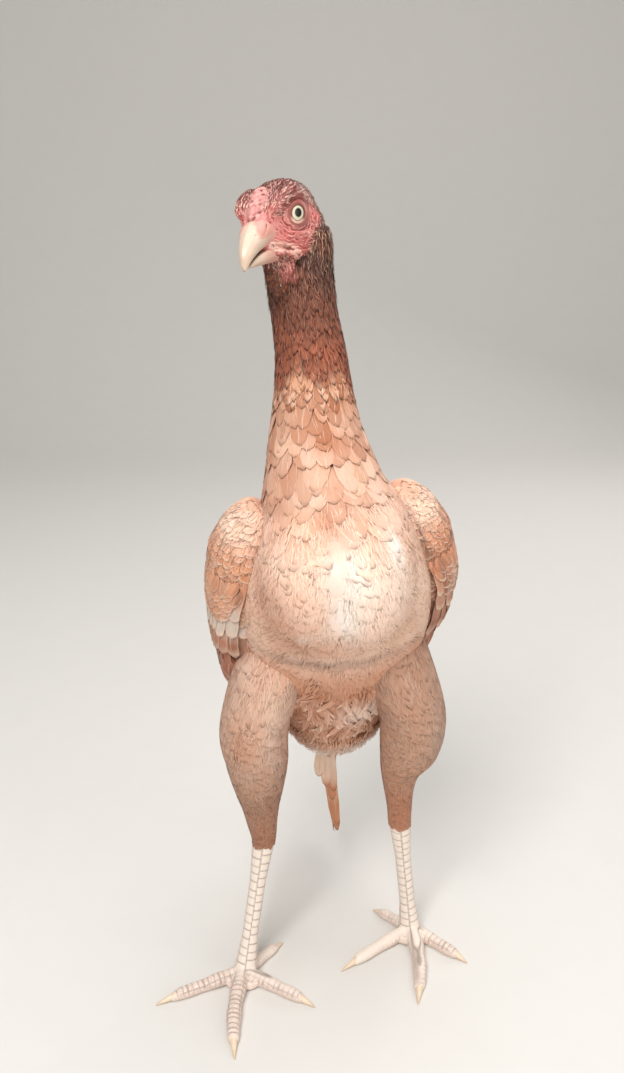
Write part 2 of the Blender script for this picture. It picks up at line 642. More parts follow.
def joined(parts):
    """Several sets of points and faces as one, each turned to face outwards first."""
    points, groups, start = [], {}, 0
    for spots, faces in parts:
        flip = signed_volume(spots, faces) < 0
        for group in faces:
            group = group[:, ::-1] if flip else group
            groups.setdefault(group.shape[1], []).append(group + start)
        points.append(spots)
        start += len(spots)
    return np.concatenate(points), [np.concatenate(g) for g in groups.values()]


def remeshed(parts, voxel, smoothing):
    """One closed skin round several closed shapes, by a voxel remesh and a light smoothing."""
    points, faces = joined(parts)
    mesh = bpy.data.meshes.new("raw")
    mesh.from_pydata(points.tolist(), [], [f for g in faces for f in g.tolist()])
    thing = bpy.data.objects.new("raw", mesh)
    bpy.context.scene.collection.objects.link(thing)
    step = thing.modifiers.new("remesh", "REMESH")
    step.mode = "VOXEL"
    step.voxel_size = voxel
    relax = thing.modifiers.new("relax", "SMOOTH")
    relax.iterations = smoothing
    relax.factor = 0.6
    graph = bpy.context.evaluated_depsgraph_get()
    done = bpy.data.meshes.new_from_object(thing.evaluated_get(graph))
    spots = np.zeros(len(done.vertices) * 3, np.float32)
    done.vertices.foreach_get("co", spots)
    normals = np.zeros(len(done.vertices) * 3, np.float32)
    done.vertices.foreach_get("normal", normals)
    corners = np.zeros(len(done.loops), np.int32)
    done.loops.foreach_get("vertex_index", corners)
    bpy.data.objects.remove(thing)
    bpy.data.meshes.remove(done)
    return spots.reshape(-1, 3).astype(float), normals.reshape(-1, 3), [corners.reshape(-1, 4)]


# Colours of the feather, skin, horn and scale
SNOW = srgb(255, 244, 234)
CREAM = srgb(250, 217, 196)
WHEAT = srgb(238, 186, 156)
BUFF = srgb(214, 156, 122)
CINNAMON = srgb(194, 122, 82)
CHESTNUT = srgb(144, 76, 48)
UMBER = srgb(68, 31, 22)
RUSSET = srgb(158, 82, 52)
ASH = srgb(206, 190, 178)
ROSE = srgb(206, 150, 134)
FACE_RED = srgb(202, 100, 96)
FACE_PALE = srgb(232, 166, 156)
FOLD_DARK = srgb(112, 44, 42)
COMB_PINK = srgb(222, 160, 154)


def socket_maths(operation, turned=False):
    """A method that adds a Math node; turned puts the socket itself last."""
    def made(self, *others):
        values = (*others, self) if turned else (self, *others)
        node = self.paint.node("ShaderNodeMath", dict(operation=operation), dict(enumerate(values)))
        return Value(self.paint, node.outputs[0])

    return made


class Value:
    """A socket with one number in it; sums on it add Math nodes."""

    __add__, __radd__ = socket_maths("ADD"), socket_maths("ADD", True)
    __sub__, __rsub__ = socket_maths("SUBTRACT"), socket_maths("SUBTRACT", True)
    __mul__, __rmul__ = socket_maths("MULTIPLY"), socket_maths("MULTIPLY", True)
    __abs__, sin, atleast = socket_maths("ABSOLUTE"), socket_maths("SINE"), socket_maths("MAXIMUM")

    def __init__(self, paint, socket):
        self.paint = paint
        self.socket = socket

    def step(self, low, high):
        """A smooth step from 0 at low to 1 at high."""
        node = self.paint.node("ShaderNodeMapRange", dict(interpolation_type="SMOOTHSTEP"),
                               {"Value": self, "From Min": low, "From Max": high})
        return Value(self.paint, node.outputs[0])


class Paint:
    """A material and its nodes."""

    def __init__(self, name, **constants):
        self.material = bpy.data.materials.new(name)
        self.material.use_nodes = True
        self.tree = self.material.node_tree
        self.shader = self.tree.nodes["Principled BSDF"]
        for label, value in constants.items():
            self.shader.inputs[label.replace("_", " ")].default_value = value

    def node(self, kind, settings=None, sockets=None):
        """Any node: its settings first, then values or links for its sockets."""
        made = self.tree.nodes.new(kind)
        for label, value in (settings or {}).items():
            setattr(made, label, value)
        for key, value in (sockets or {}).items():
            socket = made.inputs[key]
            if isinstance(value, Value):
                value = value.socket
            if isinstance(value, bpy.types.NodeSocket):
                self.tree.links.new(value, socket)
            else:
                socket.default_value = value
        return made

    def place(self):
        """Object coordinates."""
        return self.node("ShaderNodeTexCoord").outputs["Object"]

    def times(self, vector, by):
        return self.node("ShaderNodeVectorMath", dict(operation="MULTIPLY"), {0: vector, 1: by}).outputs[0]

    def parts(self, vector):
        split = self.node("ShaderNodeSeparateXYZ", None, {0: vector})
        return [Value(self, socket) for socket in split.outputs]

    def vector(self, x, y, z):
        return self.node("ShaderNodeCombineXYZ", None, {0: x, 1: y, 2: z}).outputs[0]

    def uv(self, name):
        """The two numbers of a UV map."""
        return self.parts(self.node("ShaderNodeUVMap", dict(uv_map=name)).outputs[0])[:2]

    def ground(self):
        """The colour kept on the mesh."""
        return self.node("ShaderNodeAttribute", dict(attribute_name="ground")).outputs["Color"]

    def marks(self):
        """The three shares kept on the mesh."""
        return self.parts(self.node("ShaderNodeAttribute", dict(attribute_name="marks")).outputs["Vector"])

    def noise(self, vector, scale, detail=2.0, roughness=0.5):
        made = self.node("ShaderNodeTexNoise", None,
                         {"Vector": vector, "Scale": scale, "Detail": detail, "Roughness": roughness})
        return Value(self, made.outputs["Fac"])

    def cells(self, vector, scale):
        """Distance to the edge of the nearest of many random cells."""
        made = self.node("ShaderNodeTexVoronoi", dict(feature="DISTANCE_TO_EDGE"),
                         {"Vector": vector, "Scale": scale})
        return Value(self, made.outputs["Distance"])

    def mix(self, share, a, b, blend_type="MIX"):
        """A colour between two, given as sockets or as three numbers."""
        a, b = ((*map(float, c), 1.0) if not isinstance(c, bpy.types.NodeSocket) else c for c in (a, b))
        made = self.node("ShaderNodeMix", dict(data_type="RGBA", blend_type=blend_type, clamp_factor=True),
                         {0: share, 6: a, 7: b})
        return made.outputs[2]

    def finish(self, colour, *coats, roughness=None, bump=None):
        """The material, once each coat's colour is mixed by its share over the colour before
        it, and the roughness and a bump of height, strength and distance are linked."""
        for share, over in coats:
            colour = self.mix(share, colour, over)
        self.tree.links.new(colour, self.shader.inputs["Base Color"])
        if roughness:
            self.tree.links.new(roughness.socket, self.shader.inputs["Roughness"])
        if bump:
            made = self.node("ShaderNodeBump", None, dict(zip(("Height", "Strength", "Distance"), bump)))
            self.tree.links.new(made.outputs[0], self.shader.inputs["Normal"])
        return self.material


# How strongly a vane's rim is coloured along its sides, against its tip
SIDE_RIM = 0.75
FULL_TURN = 2 * math.pi


def feather_finish(name, edge, shaft, edge_from=0.6, barbs=0.16, sheen=0.06):
    """A vane: its ground colour from the mesh, finely streaked along slanting barbs, with a
    shaft and a rim of another colour, strongest round the tip."""
    paint = Paint(name, Roughness=0.66, Sheen_Weight=sheen, Sheen_Roughness=0.45, Specular_IOR_Level=0.28)
    u, v = paint.uv("Vane")
    x = abs(u * 2 - 1)
    ground = paint.ground()
    edge_share, shaft_share, tone = paint.marks()
    streak = paint.noise(paint.vector(v * 22 - x * 10, x * 2.2, tone * 37), 1.0, 3.0, 0.65)
    rim = (x * x).step(edge_from, 1.0) * v.step(0.25, 0.6) * SIDE_RIM
    rim = rim.atleast((v + x * x * 0.08).step(edge_from + 0.2, 1.0)) * (0.7 + 0.6 * streak)
    quill = (1 - x.step(0.03, 0.13)) * (1 - v.step(0.7, 0.97))
    ribs = ((v * 40 - x * 16) * FULL_TURN).sin() * 0.2 + quill * 0.8 + streak
    return paint.finish(ground,
                        ((streak - 0.5).step(-0.2, 0.2) * barbs,
                         paint.mix(0.35, ground, srgb(255, 246, 238))),
                        ((0.5 - streak).step(0.0, 0.22) * barbs,
                         paint.mix(1.0, ground, srgb(216, 196, 186), "MULTIPLY")),
                        (rim * edge_share, edge), (quill * shaft_share, shaft), bump=(ribs, 0.22, 0.0003))


def strand_finish(name, sheen=0.05, end=srgb(255, 240, 226)):
    """A fine strand: its ground colour, darker at the root and lighter towards the end."""
    paint = Paint(name, Roughness=0.6, Sheen_Weight=sheen, Sheen_Roughness=0.4, Specular_IOR_Level=0.35)
    _, v = paint.uv("Vane")
    pale, deep, _ = paint.marks()
    return paint.finish(paint.ground(), (v.step(0.2, 0.9) * pale, end),
                        ((1 - v.step(0.0, 0.6)) * deep, srgb(120, 72, 54)))


def skin_finish():
    """Bare skin: red and pink, paler on the ridges and darker in the folds, finely pitted."""
    paint = Paint("bare_skin", Roughness=0.5, Subsurface_Weight=0.06, Subsurface_Scale=0.003,
                  Specular_IOR_Level=0.45, Subsurface_Radius=(1.0, 0.35, 0.25))
    fold, bare, _ = paint.marks()
    spot = paint.place()
    fine = paint.noise(spot, 1400.0, 3.0, 0.6)
    broad = paint.noise(spot, 190.0, 3.0, 0.55)
    pits = paint.cells(spot, 900.0)
    return paint.finish(paint.ground(), ((broad - 0.35).step(0, 0.35) * 0.3 * bare, FACE_RED * 0.85),
                        ((fine - 0.5).step(0, 0.2) * 0.35 * bare, FACE_PALE),
                        (fold.step(0.02, 0.36) * 0.85 * bare, FOLD_DARK),
                        ((-1 * fold).step(0.03, 0.40) * 0.75 * bare, srgb(248, 196, 182)),
                        ((1 - pits.step(0.0, 0.12)) * 0.25 * bare, srgb(150, 70, 66)),
                        roughness=0.42 + 0.2 * fine, bump=(fine * 0.7 + pits * 1.2, 0.35, 0.0004))


def lid_finish():
    """Lids: a dark wet margin, a red-brown band outside it, pale below the eye, finely creased."""
    paint = Paint("lids", Roughness=0.45, Subsurface_Weight=0.1, Subsurface_Scale=0.003)
    rim, crease, lower = paint.marks()
    fine = paint.noise(paint.place(), 1500.0, 3.0, 0.6)
    return paint.finish(srgb(146, 80, 68), (lower.step(0.35, 0.9), srgb(236, 196, 176)),
                        ((fine - 0.5).step(0, 0.25) * 0.4, srgb(190, 120, 108)),
                        (crease * 0.8, srgb(146, 76, 66)), (rim, srgb(48, 28, 24)),
                        bump=(fine, 0.3, 0.0003))


def horn_finish(name, base, tip, pink):
    """Horn: ivory with fine growth lines, a colour at the root and another at the tip."""
    paint = Paint(name, Roughness=0.42, Coat_Weight=0.10, Coat_Roughness=0.3, Subsurface_Weight=0.08,
                  Subsurface_Scale=0.003)
    root, end, dark = paint.marks()
    spot = paint.place()
    grain = paint.noise(paint.times(spot, (900.0, 900.0, 260.0)), 1.0, 4.0, 0.6)
    cloud = paint.noise(spot, 160.0, 2.0)
    return paint.finish(base, ((grain - 0.4).step(0, 0.4) * 0.35, tip),
                        ((cloud - 0.45).step(0, 0.3) * 0.3, srgb(236, 216, 194)),
                        (root * (0.7 + 0.5 * cloud), pink), (end, tip), (dark, srgb(40, 22, 20)),
                        roughness=0.3 + 0.22 * grain, bump=(grain, 0.18, 0.0003))


def eye_finish():
    """The eye: pale iris with radial fibres, a dark rim, a black pupil and a wet coat."""
    paint = Paint("hen_eye", Roughness=0.3, Coat_Weight=0.6, Coat_Roughness=0.03, Coat_IOR=1.4)
    out, turn = paint.uv("Iris")
    fibre = paint.noise(paint.vector((turn * FULL_TURN).sin() * 14, turn * 60, out * 3), 1.0, 3.0, 0.6)
    return paint.finish(srgb(202, 194, 166), (fibre.step(0.3, 0.7) * 0.8, srgb(238, 230, 206)),
                        ((1 - out.step(0.54, 0.66)) * 0.6, srgb(176, 160, 118)),
                        (out.step(0.72, 0.86) * 0.5, srgb(246, 238, 218)),
                        (1 - out.step(0.515, 0.55), srgb(10, 9, 7)),
                        (out.step(0.94, 1.0), srgb(46, 34, 28)), (out.step(1.12, 1.2), srgb(150, 110, 100)))


def scale_finish():
    """Scaled skin: pale plates parted by fine grey lines, pinker on the toes."""
    paint = Paint("scaled_leg", Roughness=0.48, Subsurface_Weight=0.08, Subsurface_Scale=0.003)
    line, wear, _ = paint.marks()
    spot = paint.place()
    cloud = paint.noise(spot, 240.0, 3.0, 0.6)
    fine = paint.noise(spot, 1300.0, 3.0, 0.6)
    net = paint.cells(spot, 420.0)
    return paint.finish(paint.ground(), ((cloud - 0.42).step(0, 0.3) * 0.5, srgb(243, 228, 214)),
                        ((fine - 0.55).step(0, 0.2) * 0.4, srgb(196, 170, 152)),
                        ((1 - net.step(0.0, 0.09)) * 0.35 * wear, srgb(150, 132, 122)),
                        (line * 0.8, srgb(128, 112, 104)), roughness=0.4 + 0.25 * fine,
                        bump=(net.step(0.0, 0.12) * wear * 0.8 + fine * 0.4, 0.4, 0.0003))


def floor_finish():
    """The stage's floor: pale and faintly clouded."""
    paint = Paint("pale_floor", Roughness=0.85)
    grain = paint.noise(paint.place(), 30.0, 4.0)
    return paint.finish(srgb(222, 220, 216), (grain * 0.3, srgb(210, 208, 204)))


# A vane's ring: places across it, and which points lie on its under face
ACROSS = np.array([-1.0, -0.52, 0.0, 0.52, 1.0, 0.0])
UNDER = np.array([0, 0, 0, 0, 0, 1.0])
STRAND_ACROSS = np.array([-1.0, 1.0, 0.0])
STRAND_UNDER = np.array([0, 0, 1.0])
# Which of a ring's points lie on its two rims
RIMS = {6: (0, 4), 3: (0, 1)}
# Outlines of vanes: places along them, and the share of the full width there
ROUND_TIP = np.array(((0, 0.2, 0.45, 0.7, 0.9, 1.0), (0.25, 0.78, 1.0, 0.97, 0.66, 0.14)))
POINTED_TIP = np.array(((0, 0.2, 0.45, 0.7, 0.88, 1.0), (0.35, 0.85, 1.0, 0.78, 0.42, 0.05)))
BROAD_TIP = np.array(((0, 0.15, 0.4, 0.75, 0.94, 1.0), (0.3, 0.8, 0.98, 1.0, 0.74, 0.25)))
STRAND_TIP = np.array(((0, 0.3, 0.7, 1.0), (0.5, 1.0, 0.8, 0.1)))
BRISTLE = np.array(((0, 0.55, 1.0), (0.9, 0.8, 0.12)))
SLOPE_STEP = 0.01
# Size of each tuft's patch in the bake map
BAKE_PATCH = 0.003
DARKEST, LIGHTEST = 0.004, 0.95


def slopes(surface, a, b):
    """A surface's point at (a, b) and its two slopes, by small steps along each."""
    here = surface(a, b)
    along_a = (surface(a + SLOPE_STEP, b) - here) / SLOPE_STEP
    along_b = (surface(a, b + SLOPE_STEP) - here) / SLOPE_STEP
    return here, along_a, along_b


def surface_hand(surface, a, b, middle):
    """Whether the cross product of a surface's slopes points away from a middle place."""
    here, slope_a, slope_b = slopes(surface, np.array([a]), np.array([b]))
    return 1.0 if float((np.cross(slope_a, slope_b) * (here - middle)).sum()) > 0 else -1.0


def vane_cells(count, stations, ring):
    """Faces of many vanes, each a closed tube of ring points round."""
    quads = grid_quads(stations, ring)
    caps = np.stack([np.arange(ring)[::-1], (stations - 1) * ring + np.arange(ring)])
    start = (np.arange(count) * stations * ring)[:, None, None]
    return [(quads[None] + start).reshape(-1, 4), (caps[None] + start).reshape(-1, ring)]


def varied(draw, count, light=0.10, hue=0.05):
    """Factors that make colours a little lighter, darker, warmer or cooler."""
    shade = 1 + draw.normal(0, light, (count, 1))
    warm = draw.normal(0, hue, (count, 1)) * np.array([[0.4, 0.0, -0.8]])
    return shade * (1 + warm)


def coat_marks(count, draw, edge, shaft):
    """Strength of rim and shaft for each feather, and its own random number."""
    return np.column_stack([edge * np.ones(count) * draw.uniform(0.5, 1.25, count),
                            shaft * np.ones(count) * draw.uniform(0.5, 1.25, count),
                            draw.uniform(0, 1, count)])


class Coat:
    """Feathers or strands of one piece, gathered as arrays before the mesh is made."""

    def __init__(self, name, seed, strand=False):
        self.name = name
        self.draw = np.random.default_rng(seed)
        self.across, self.under = (STRAND_ACROSS, STRAND_UNDER) if strand else (ACROSS, UNDER)
        self.rows = []

    def add(self, surface, hand, roots, turn, length, width, tip=ROUND_TIP, sunk=1.5, rise=0.15,
            camber=0.10, tilt=0.0, thick=0.2, curl=0.0, bend=0.0, ground=None, shade=None,
            marks=None, bake=None):
        """Vanes that lie on a surface of two parameters. Along each, the height over the
        surface goes from -sunk to rise by t(2-t), less camber times the distance from
        the shaft squared, plus tilt times that distance; curl lifts the last third, and bend
        curves it sideways with the square of the way along. ground gives the colour at any
        place of the surface, and shade multiplies it for each vane."""
        count = len(roots[0])
        _, slope_a, slope_b = slopes(surface, *roots)
        a, b, grow_a, grow_b, turn, length, width, sunk, rise, tilt, curl, bend = (
            (value * np.ones(count))[:, None, None] for value in (
                *roots, np.linalg.norm(slope_a, axis=-1), np.linalg.norm(slope_b, axis=-1),
                turn, length, width, sunk, rise, tilt, curl, bend))
        t, w = (row[None, :, None] for row in tip)
        x = width / 2 * w * (1 + self.draw.uniform(-0.06, 0.06, (count, t.size)))[:, :, None] * self.across
        y = length * (t - 0.05 * np.abs(self.across) * w)
        aside = x + bend * length * t**2
        c, s = np.cos(turn), np.sin(turn)
        where_a, where_b = a + (y * c - aside * s) / grow_a, b + (y * s + aside * c) / grow_b
        here, slope_a, slope_b = slopes(surface, where_a, where_b)
        height = (-sunk + (sunk + rise) * t * (2 - t) - camber * x * x / np.maximum(width, 1e-3)
                  + tilt * x + curl * np.maximum(t - 0.6, 0)**2 * 6 - thick * self.under * (1 - 0.6 * t))
        colour = np.clip(ground(where_a, where_b) * shade[:, None, None, :], DARKEST, LIGHTEST)
        self.gather(here + unit(np.cross(slope_a, slope_b)) * hand * height[..., None], t, bake, colour,
                    marks)

    def gather(self, spots, t, bake, ground, marks):
        """Keeps vanes with their UV maps, colours and marks; the bake map holds a small patch
        for each at its root's place."""
        shape = spots.shape[:-1]
        uv = np.stack([np.broadcast_to(k, shape) for k in (self.across / 2 + 0.5, t)], -1)
        bakes = np.stack(bake, -1)[:, None, None, :] + (uv - 0.5) * BAKE_PATCH
        marks = np.broadcast_to(marks[:, None, None, :], (*shape, 3))
        self.stations = shape[1]
        self.rows.append([part.reshape(-1, part.shape[-1])
                          for part in (to_frame(spots), uv, bakes, np.broadcast_to(ground, (*shape, 3)),
                                       marks)])

    def make(self, finish, slot):
        points, uv, bake, ground, marks = (np.concatenate(part) for part in zip(*self.rows))
        ring = len(self.across)
        faces = vane_cells(len(points) // (self.stations * ring), self.stations, ring)
        return make_piece(self.name, points, faces, finish, {"Vane": uv, "OFBake": bake},
                          {"ground": ground}, {"marks": marks}, rims=(ring, RIMS[ring]))


def rows_of_roots(surface, a_from, a_to, row_step, b_from, b_to, pitch, draw, jitter=0.2):
    """Roots in staggered rows: rows step down the surface by row_step, and roots lie evenly
    round each by pitch, both measured on the surface and both given as tables over a."""
    row_step, pitch = table(row_step), table(pitch)
    found_a, found_b = [], []
    a, row = a_from, 0
    whole = abs(b_to - b_from) > 6.2
    middle = (b_from + b_to) / 2
    while a < a_to:
        b = np.linspace(b_from, b_to, 241)
        ring = surface(np.full(b.shape, a), b)
        run = np.concatenate([[0], np.cumsum(np.linalg.norm(np.diff(ring, axis=0), axis=1))])
        count = max(2, int(round(run[-1] / pitch(a))))
        place = np.arange(count) + 0.5 * (row % 2) + draw.uniform(-jitter, jitter, count) + 0.25
        place = place / count * run[-1]
        if not whole:
            place = np.clip(place, 0, run[-1])
        found_b.append(np.interp(place % run[-1] if whole else place, run, b))
        ahead = np.array([a, a + 0.02])
        size = np.linalg.norm(np.diff(surface(ahead, np.full(2, middle)), axis=0)) / 0.02
        found_a.append(a + draw.uniform(-jitter, jitter, count) * row_step(a) / size)
        a += row_step(a) / size
        row += 1
    return np.clip(np.concatenate(found_a), a_from, a_to), np.concatenate(found_b)


def table(pairs):
    """A function that reads straight between given places and values, or one value everywhere."""
    at, value = np.array(pairs if np.ndim(pairs) else ((0, pairs),), float).T
    return lambda a: np.interp(a, at, value)


def mottle(a, b, seed, size_a, size_b, count=6):
    """Smooth random mottling over a surface's two parameters: a sum of sines."""
    draw = np.random.default_rng(seed)
    total = 0.0
    for _ in range(count):
        turn = draw.uniform(0, 2 * np.pi)
        pace = 2 * np.pi * draw.uniform(0.6, 1.5)
        total = total + np.sin(pace * (a / size_a * np.cos(turn) + b / size_b * np.sin(turn)) + turn * 7)
    return total / count * 1.4


def marked(colour, marks, a, b, ragged):
    """Soft round markings over a colour: each fades with the distance d from its place, in
    half sizes, as exp(-d*d)."""
    for at, angle, size_a, size_b, paint, strength in marks:
        away = np.hypot((a - at) / size_a, (b - angle) / size_b) + ragged
        colour = blend(colour, paint, np.exp(-away**2) * strength)
    return colour


# Markings of the trunk: place down it and round it, half size in both, colour and strength
TRUNK_MARKS = (
    (9.10, 1.58, 0.40, 0.24, SNOW, 0.70), (9.75, 1.60, 0.42, 0.16, SNOW, 0.85),
    (8.95, 1.02, 0.25, 0.13, SNOW, 0.95), (9.60, 1.25, 0.60, 0.30, SNOW, 0.22),
    (10.10, 1.99, 0.10, 0.05, SNOW, 0.9), (8.50, 0.72, 0.60, 0.22, CREAM, 0.6),
    (9.45, 2.45, 0.28, 0.30, CINNAMON, 0.50), (9.95, 2.30, 0.42, 0.38, CINNAMON, 0.62),
    (10.45, 1.95, 0.26, 0.45, CINNAMON, 0.60), (8.42, 1.70, 0.24, 0.14, CINNAMON, 0.65),
    (8.15, 1.42, 0.30, 0.16, CINNAMON, 0.40), (11.2, 0.60, 0.50, 0.26, CINNAMON, 0.50),
    (6.43, 1.60, 0.24, 0.24, CINNAMON, 0.50), (7.00, 1.28, 0.26, 0.34, CINNAMON, 0.60),
    (7.60, 2.45, 0.30, 0.25, CINNAMON, 0.25), (4.35, 1.70, 0.16, 0.16, ROSE, 0.55),
    (10.2, 0.95, 0.40, 0.25, BUFF, 0.45), (12.5, 1.60, 0.50, 0.90, ROSE, 0.35),
    (10.86, 1.75, 0.11, 0.95, UMBER, 0.60), (11.6, 1.60, 0.60, 1.30, CINNAMON, 0.45),
    (12.4, 1.25, 0.30, 0.30, SNOW, 0.6), (14.2, 1.95, 0.40, 0.25, SNOW, 0.8),
    (13.9, 1.25, 0.30, 0.35, SNOW, 0.8),
)


def trunk_colour(at, angle):
    """The plumage of neck and trunk: dark red-brown at the top of the neck, then pale wheat,
    creamier on the breast and browner on the back, with mottling and its markings."""
    in_front = np.sin(angle)
    aside = np.cos(angle)
    edge = 5.42 + 0.22 * np.sin(angle * 5 + 1) + 0.42 * np.abs(aside)**3 + 0.25 * np.clip(aside, 0, 1) ** 2
    edge = edge + 0.7 * np.clip(-in_front, 0, 1)
    cloud = mottle(at, angle, 5, 1.3, 0.8)
    fine = mottle(at, angle, 6, 0.45, 0.25)
    upper = blend(UMBER, RUSSET, ramp(at, 2.6, 5.2) * 0.80 + 0.18 * ramp(cloud, -0.2, 0.6))
    lower = blend(WHEAT, CREAM, 0.45 + 0.4 * cloud + 0.2 * fine)
    lower = blend(lower, CREAM,
                  ramp(at, 8.4, 9.6) * ramp(in_front, 0.0, 0.8) * (1 - ramp(at, 10.6, 11.4)) * 0.5)
    lower = blend(lower, WHEAT, ramp(at, 10.6, 11.4) * 0.7)
    lower = blend(lower, BUFF * [0.86, 0.78, 0.70], ramp(at, 11.0, 12.0) * 0.9)
    lower = blend(lower, BUFF, (1 - ramp(at, 5.5, 6.8)) * 0.95)
    lower = blend(lower, CINNAMON, ramp(-in_front, -0.1, 0.6) * ramp(at, 6.6, 9.0) * 0.6)
    lower = marked(lower, TRUNK_MARKS, at, angle, 0.16 * fine)
    share = ramp(at + 0.16 * fine, edge - 0.28, edge + 0.22)
    return blend(upper, lower, share)


def coat_depth(at):
    """How far the skin lies under the trunk's outer face, in millimetres."""
    return np.interp(at, (0, 3, 6, 8, 10, 15, 17), (1.6, 2.0, 3.0, 4.0, 4.6, 4.0, 2.0))


def lie_of_trunk(at, angle):
    """The way plumage lies on the trunk, as a turn from straight down: parted at the keel
    and brushed outwards over the lower breast, and swirling a little everywhere."""
    aside = -np.cos(angle)
    over_breast = ramp(at, 8.8, 10.2) * (1 - ramp(at, 11.2, 12.2)) * ramp(np.sin(angle), 0.1, 0.5)
    parted = np.tanh((angle - 1.62) * 5.0) * (0.12 + 0.85 * np.minimum(np.abs(angle - 1.62), 0.8))
    return parted * over_breast * 0.95 + 0.16 * mottle(at, angle, 9, 1.2, 0.7) + 0.05 * aside


TRUNK_BAKE = 17.0


def turn_share(angle):
    """An angle as a share of a full turn, from 0 to 1."""
    return angle % (2 * np.pi) / (2 * np.pi)


def plant_trunk(coat, a_from, a_to, b_from, b_to, row_step, pitch, long, wide, tip, edge, shaft,
                spread=0.12, lift=0.15, curl=0.0, tilt=0.03, camber=0.12, light=0.05, bend=0.0,
                sunk=0.85, only=None, swirl=0.0):
    """Feathers over part of the trunk, in rows; only keeps the roots where it says so, and
    swirl turns and bends neighbours together into locks. Row step, pitch, length, width and
    the strengths of rim and shaft are pairs of places and values down the trunk."""
    draw = coat.draw
    long, wide, edge, shaft = (table(pairs) for pairs in (long, wide, edge, shaft))
    a, b = rows_of_roots(trunk_surface, a_from, a_to, row_step, b_from, b_to, pitch, draw)
    if only is not None:
        keep = draw.uniform(0, 1, len(a)) < only(a, b)
        a, b = a[keep], b[keep]
    count = len(a)
    lock = swirl * mottle(a, b, 48, 0.9, 0.5)
    turn = lie_of_trunk(a + 0.2, b) + draw.normal(0, spread, count) + lock
    coat.add(trunk_surface, TRUNK_HAND, (a, b), turn,
             long(a) * draw.uniform(0.8, 1.15, count), wide(a) * draw.uniform(0.85, 1.12, count), tip,
             sunk=coat_depth(a - 0.35) * sunk, rise=lift * draw.uniform(0.2, 1.6, count), camber=camber,
             tilt=draw.normal(0, tilt, count), curl=curl * draw.uniform(0, 1, count),
             bend=draw.normal(0, bend, count) - 0.6 * lock,
             ground=trunk_colour, shade=varied(draw, count, light, 0.03),
             marks=coat_marks(count, draw, edge(a), shaft(a)),
             bake=(turn_share(b), np.clip(a / TRUNK_BAKE, 0, 1)))


def trunk_coat(name, seed, finish, slot, *args, strand=False, **ways):
    """A piece of trunk plumage: one area of feathers or strands."""
    coat = Coat(name, seed, strand)
    plant_trunk(coat, *args, **ways)
    coat.make(finish, slot)


TRUNK_HAND = surface_hand(trunk_surface, 9.0, 0.0, TRUNK[9, :3])


class HenSizes(bpy.types.PropertyGroup):
    """Sizes of the finished bird's details."""
    voxel: bpy.props.FloatProperty(name="Skin cell", description="Cell of the body's fused skin",
                                   default=0.0028, unit="LENGTH")
    foot_voxel: bpy.props.FloatProperty(name="Foot cell", description="Cell of the feet's fused skin",
                                        default=0.0008, unit="LENGTH")
    lens: bpy.props.FloatProperty(name="Lens", description="Focal length on a 36 mm high frame",
                                  default=33.55)
    camera_height: bpy.props.FloatProperty(name="Camera height", description="Height of the lens",
                                           default=0.593, unit="LENGTH")
    camera_distance: bpy.props.FloatProperty(name="Camera distance",
                                             description="How far ahead of the bird",
                                             default=0.685, unit="LENGTH")
    camera_down: bpy.props.FloatProperty(name="Camera tilt", description="Tilt of the view below level",
                                         default=math.radians(18.9), subtype="ANGLE")


def colour_property(name, description, colour):
    """A colour in the panel, given as linear light."""
    return bpy.props.FloatVectorProperty(name=name, description=description, subtype="COLOR",
                                         size=3, min=0, max=1, default=tuple(float(c) for c in colour))


class HenColours(bpy.types.PropertyGroup):
    """Colours of the feathers' rims and tips."""
    pale_rim: colour_property("Pale rim", "Rim of the wing's coverts", srgb(238, 206, 182))
    brown_rim: colour_property("Brown rim", "Rim of the neck's feathers", srgb(172, 108, 76))
    hackle_tip: colour_property("Hackle tip", "Pale rim and shaft of the dark hackles", srgb(188, 122, 84))


def sizes():
    """The sizes set in the panel."""
    return bpy.context.scene.hen_sizes


def tints():
    """The colours set in the panel."""
    return bpy.context.scene.hen_colours


def body_shapes():
    """Closed tubes just under the plumage: trunk, thighs, wings and the tail's core."""
    angle = np.linspace(0, 2 * np.pi, 72, endpoint=False)
    at = np.linspace(0.6, 17, 150)[:, None]
    parts = [closed_tube(to_frame(trunk_surface(at, angle, -coat_depth(at) + 0 * angle)))]
    for side in LEGS:
        at = np.linspace(0, 7, 70)[:, None]
        depth = np.interp(at, (0, 3, 7), (4.0, 3.2, 1.0)) + 0 * angle
        parts.append(closed_tube(to_frame(leg_surface(side, at, angle, -depth))))
        p = np.linspace(-4, 196, 60)[:, None]
        sunk = np.interp(p, (-4, 30, 120, 196), (3.0, 4.5, 7.0, 5.0)) + 0 * angle
        parts.append(closed_tube(to_frame(wing_round(side, p, angle, sunk))))
    t = np.linspace(0, 1, 8)[:, None]
    centre = tail_place("left", 46 * t + 0 * angle, 0 * angle * t, 0 * angle * t)
    centre[..., 0] += (6.5 - 4.2 * t) * np.cos(angle)
    centre[..., 1] -= (13 - 6 * t) * np.sin(angle)
    parts.append(closed_tube(to_frame(centre)))
    return parts


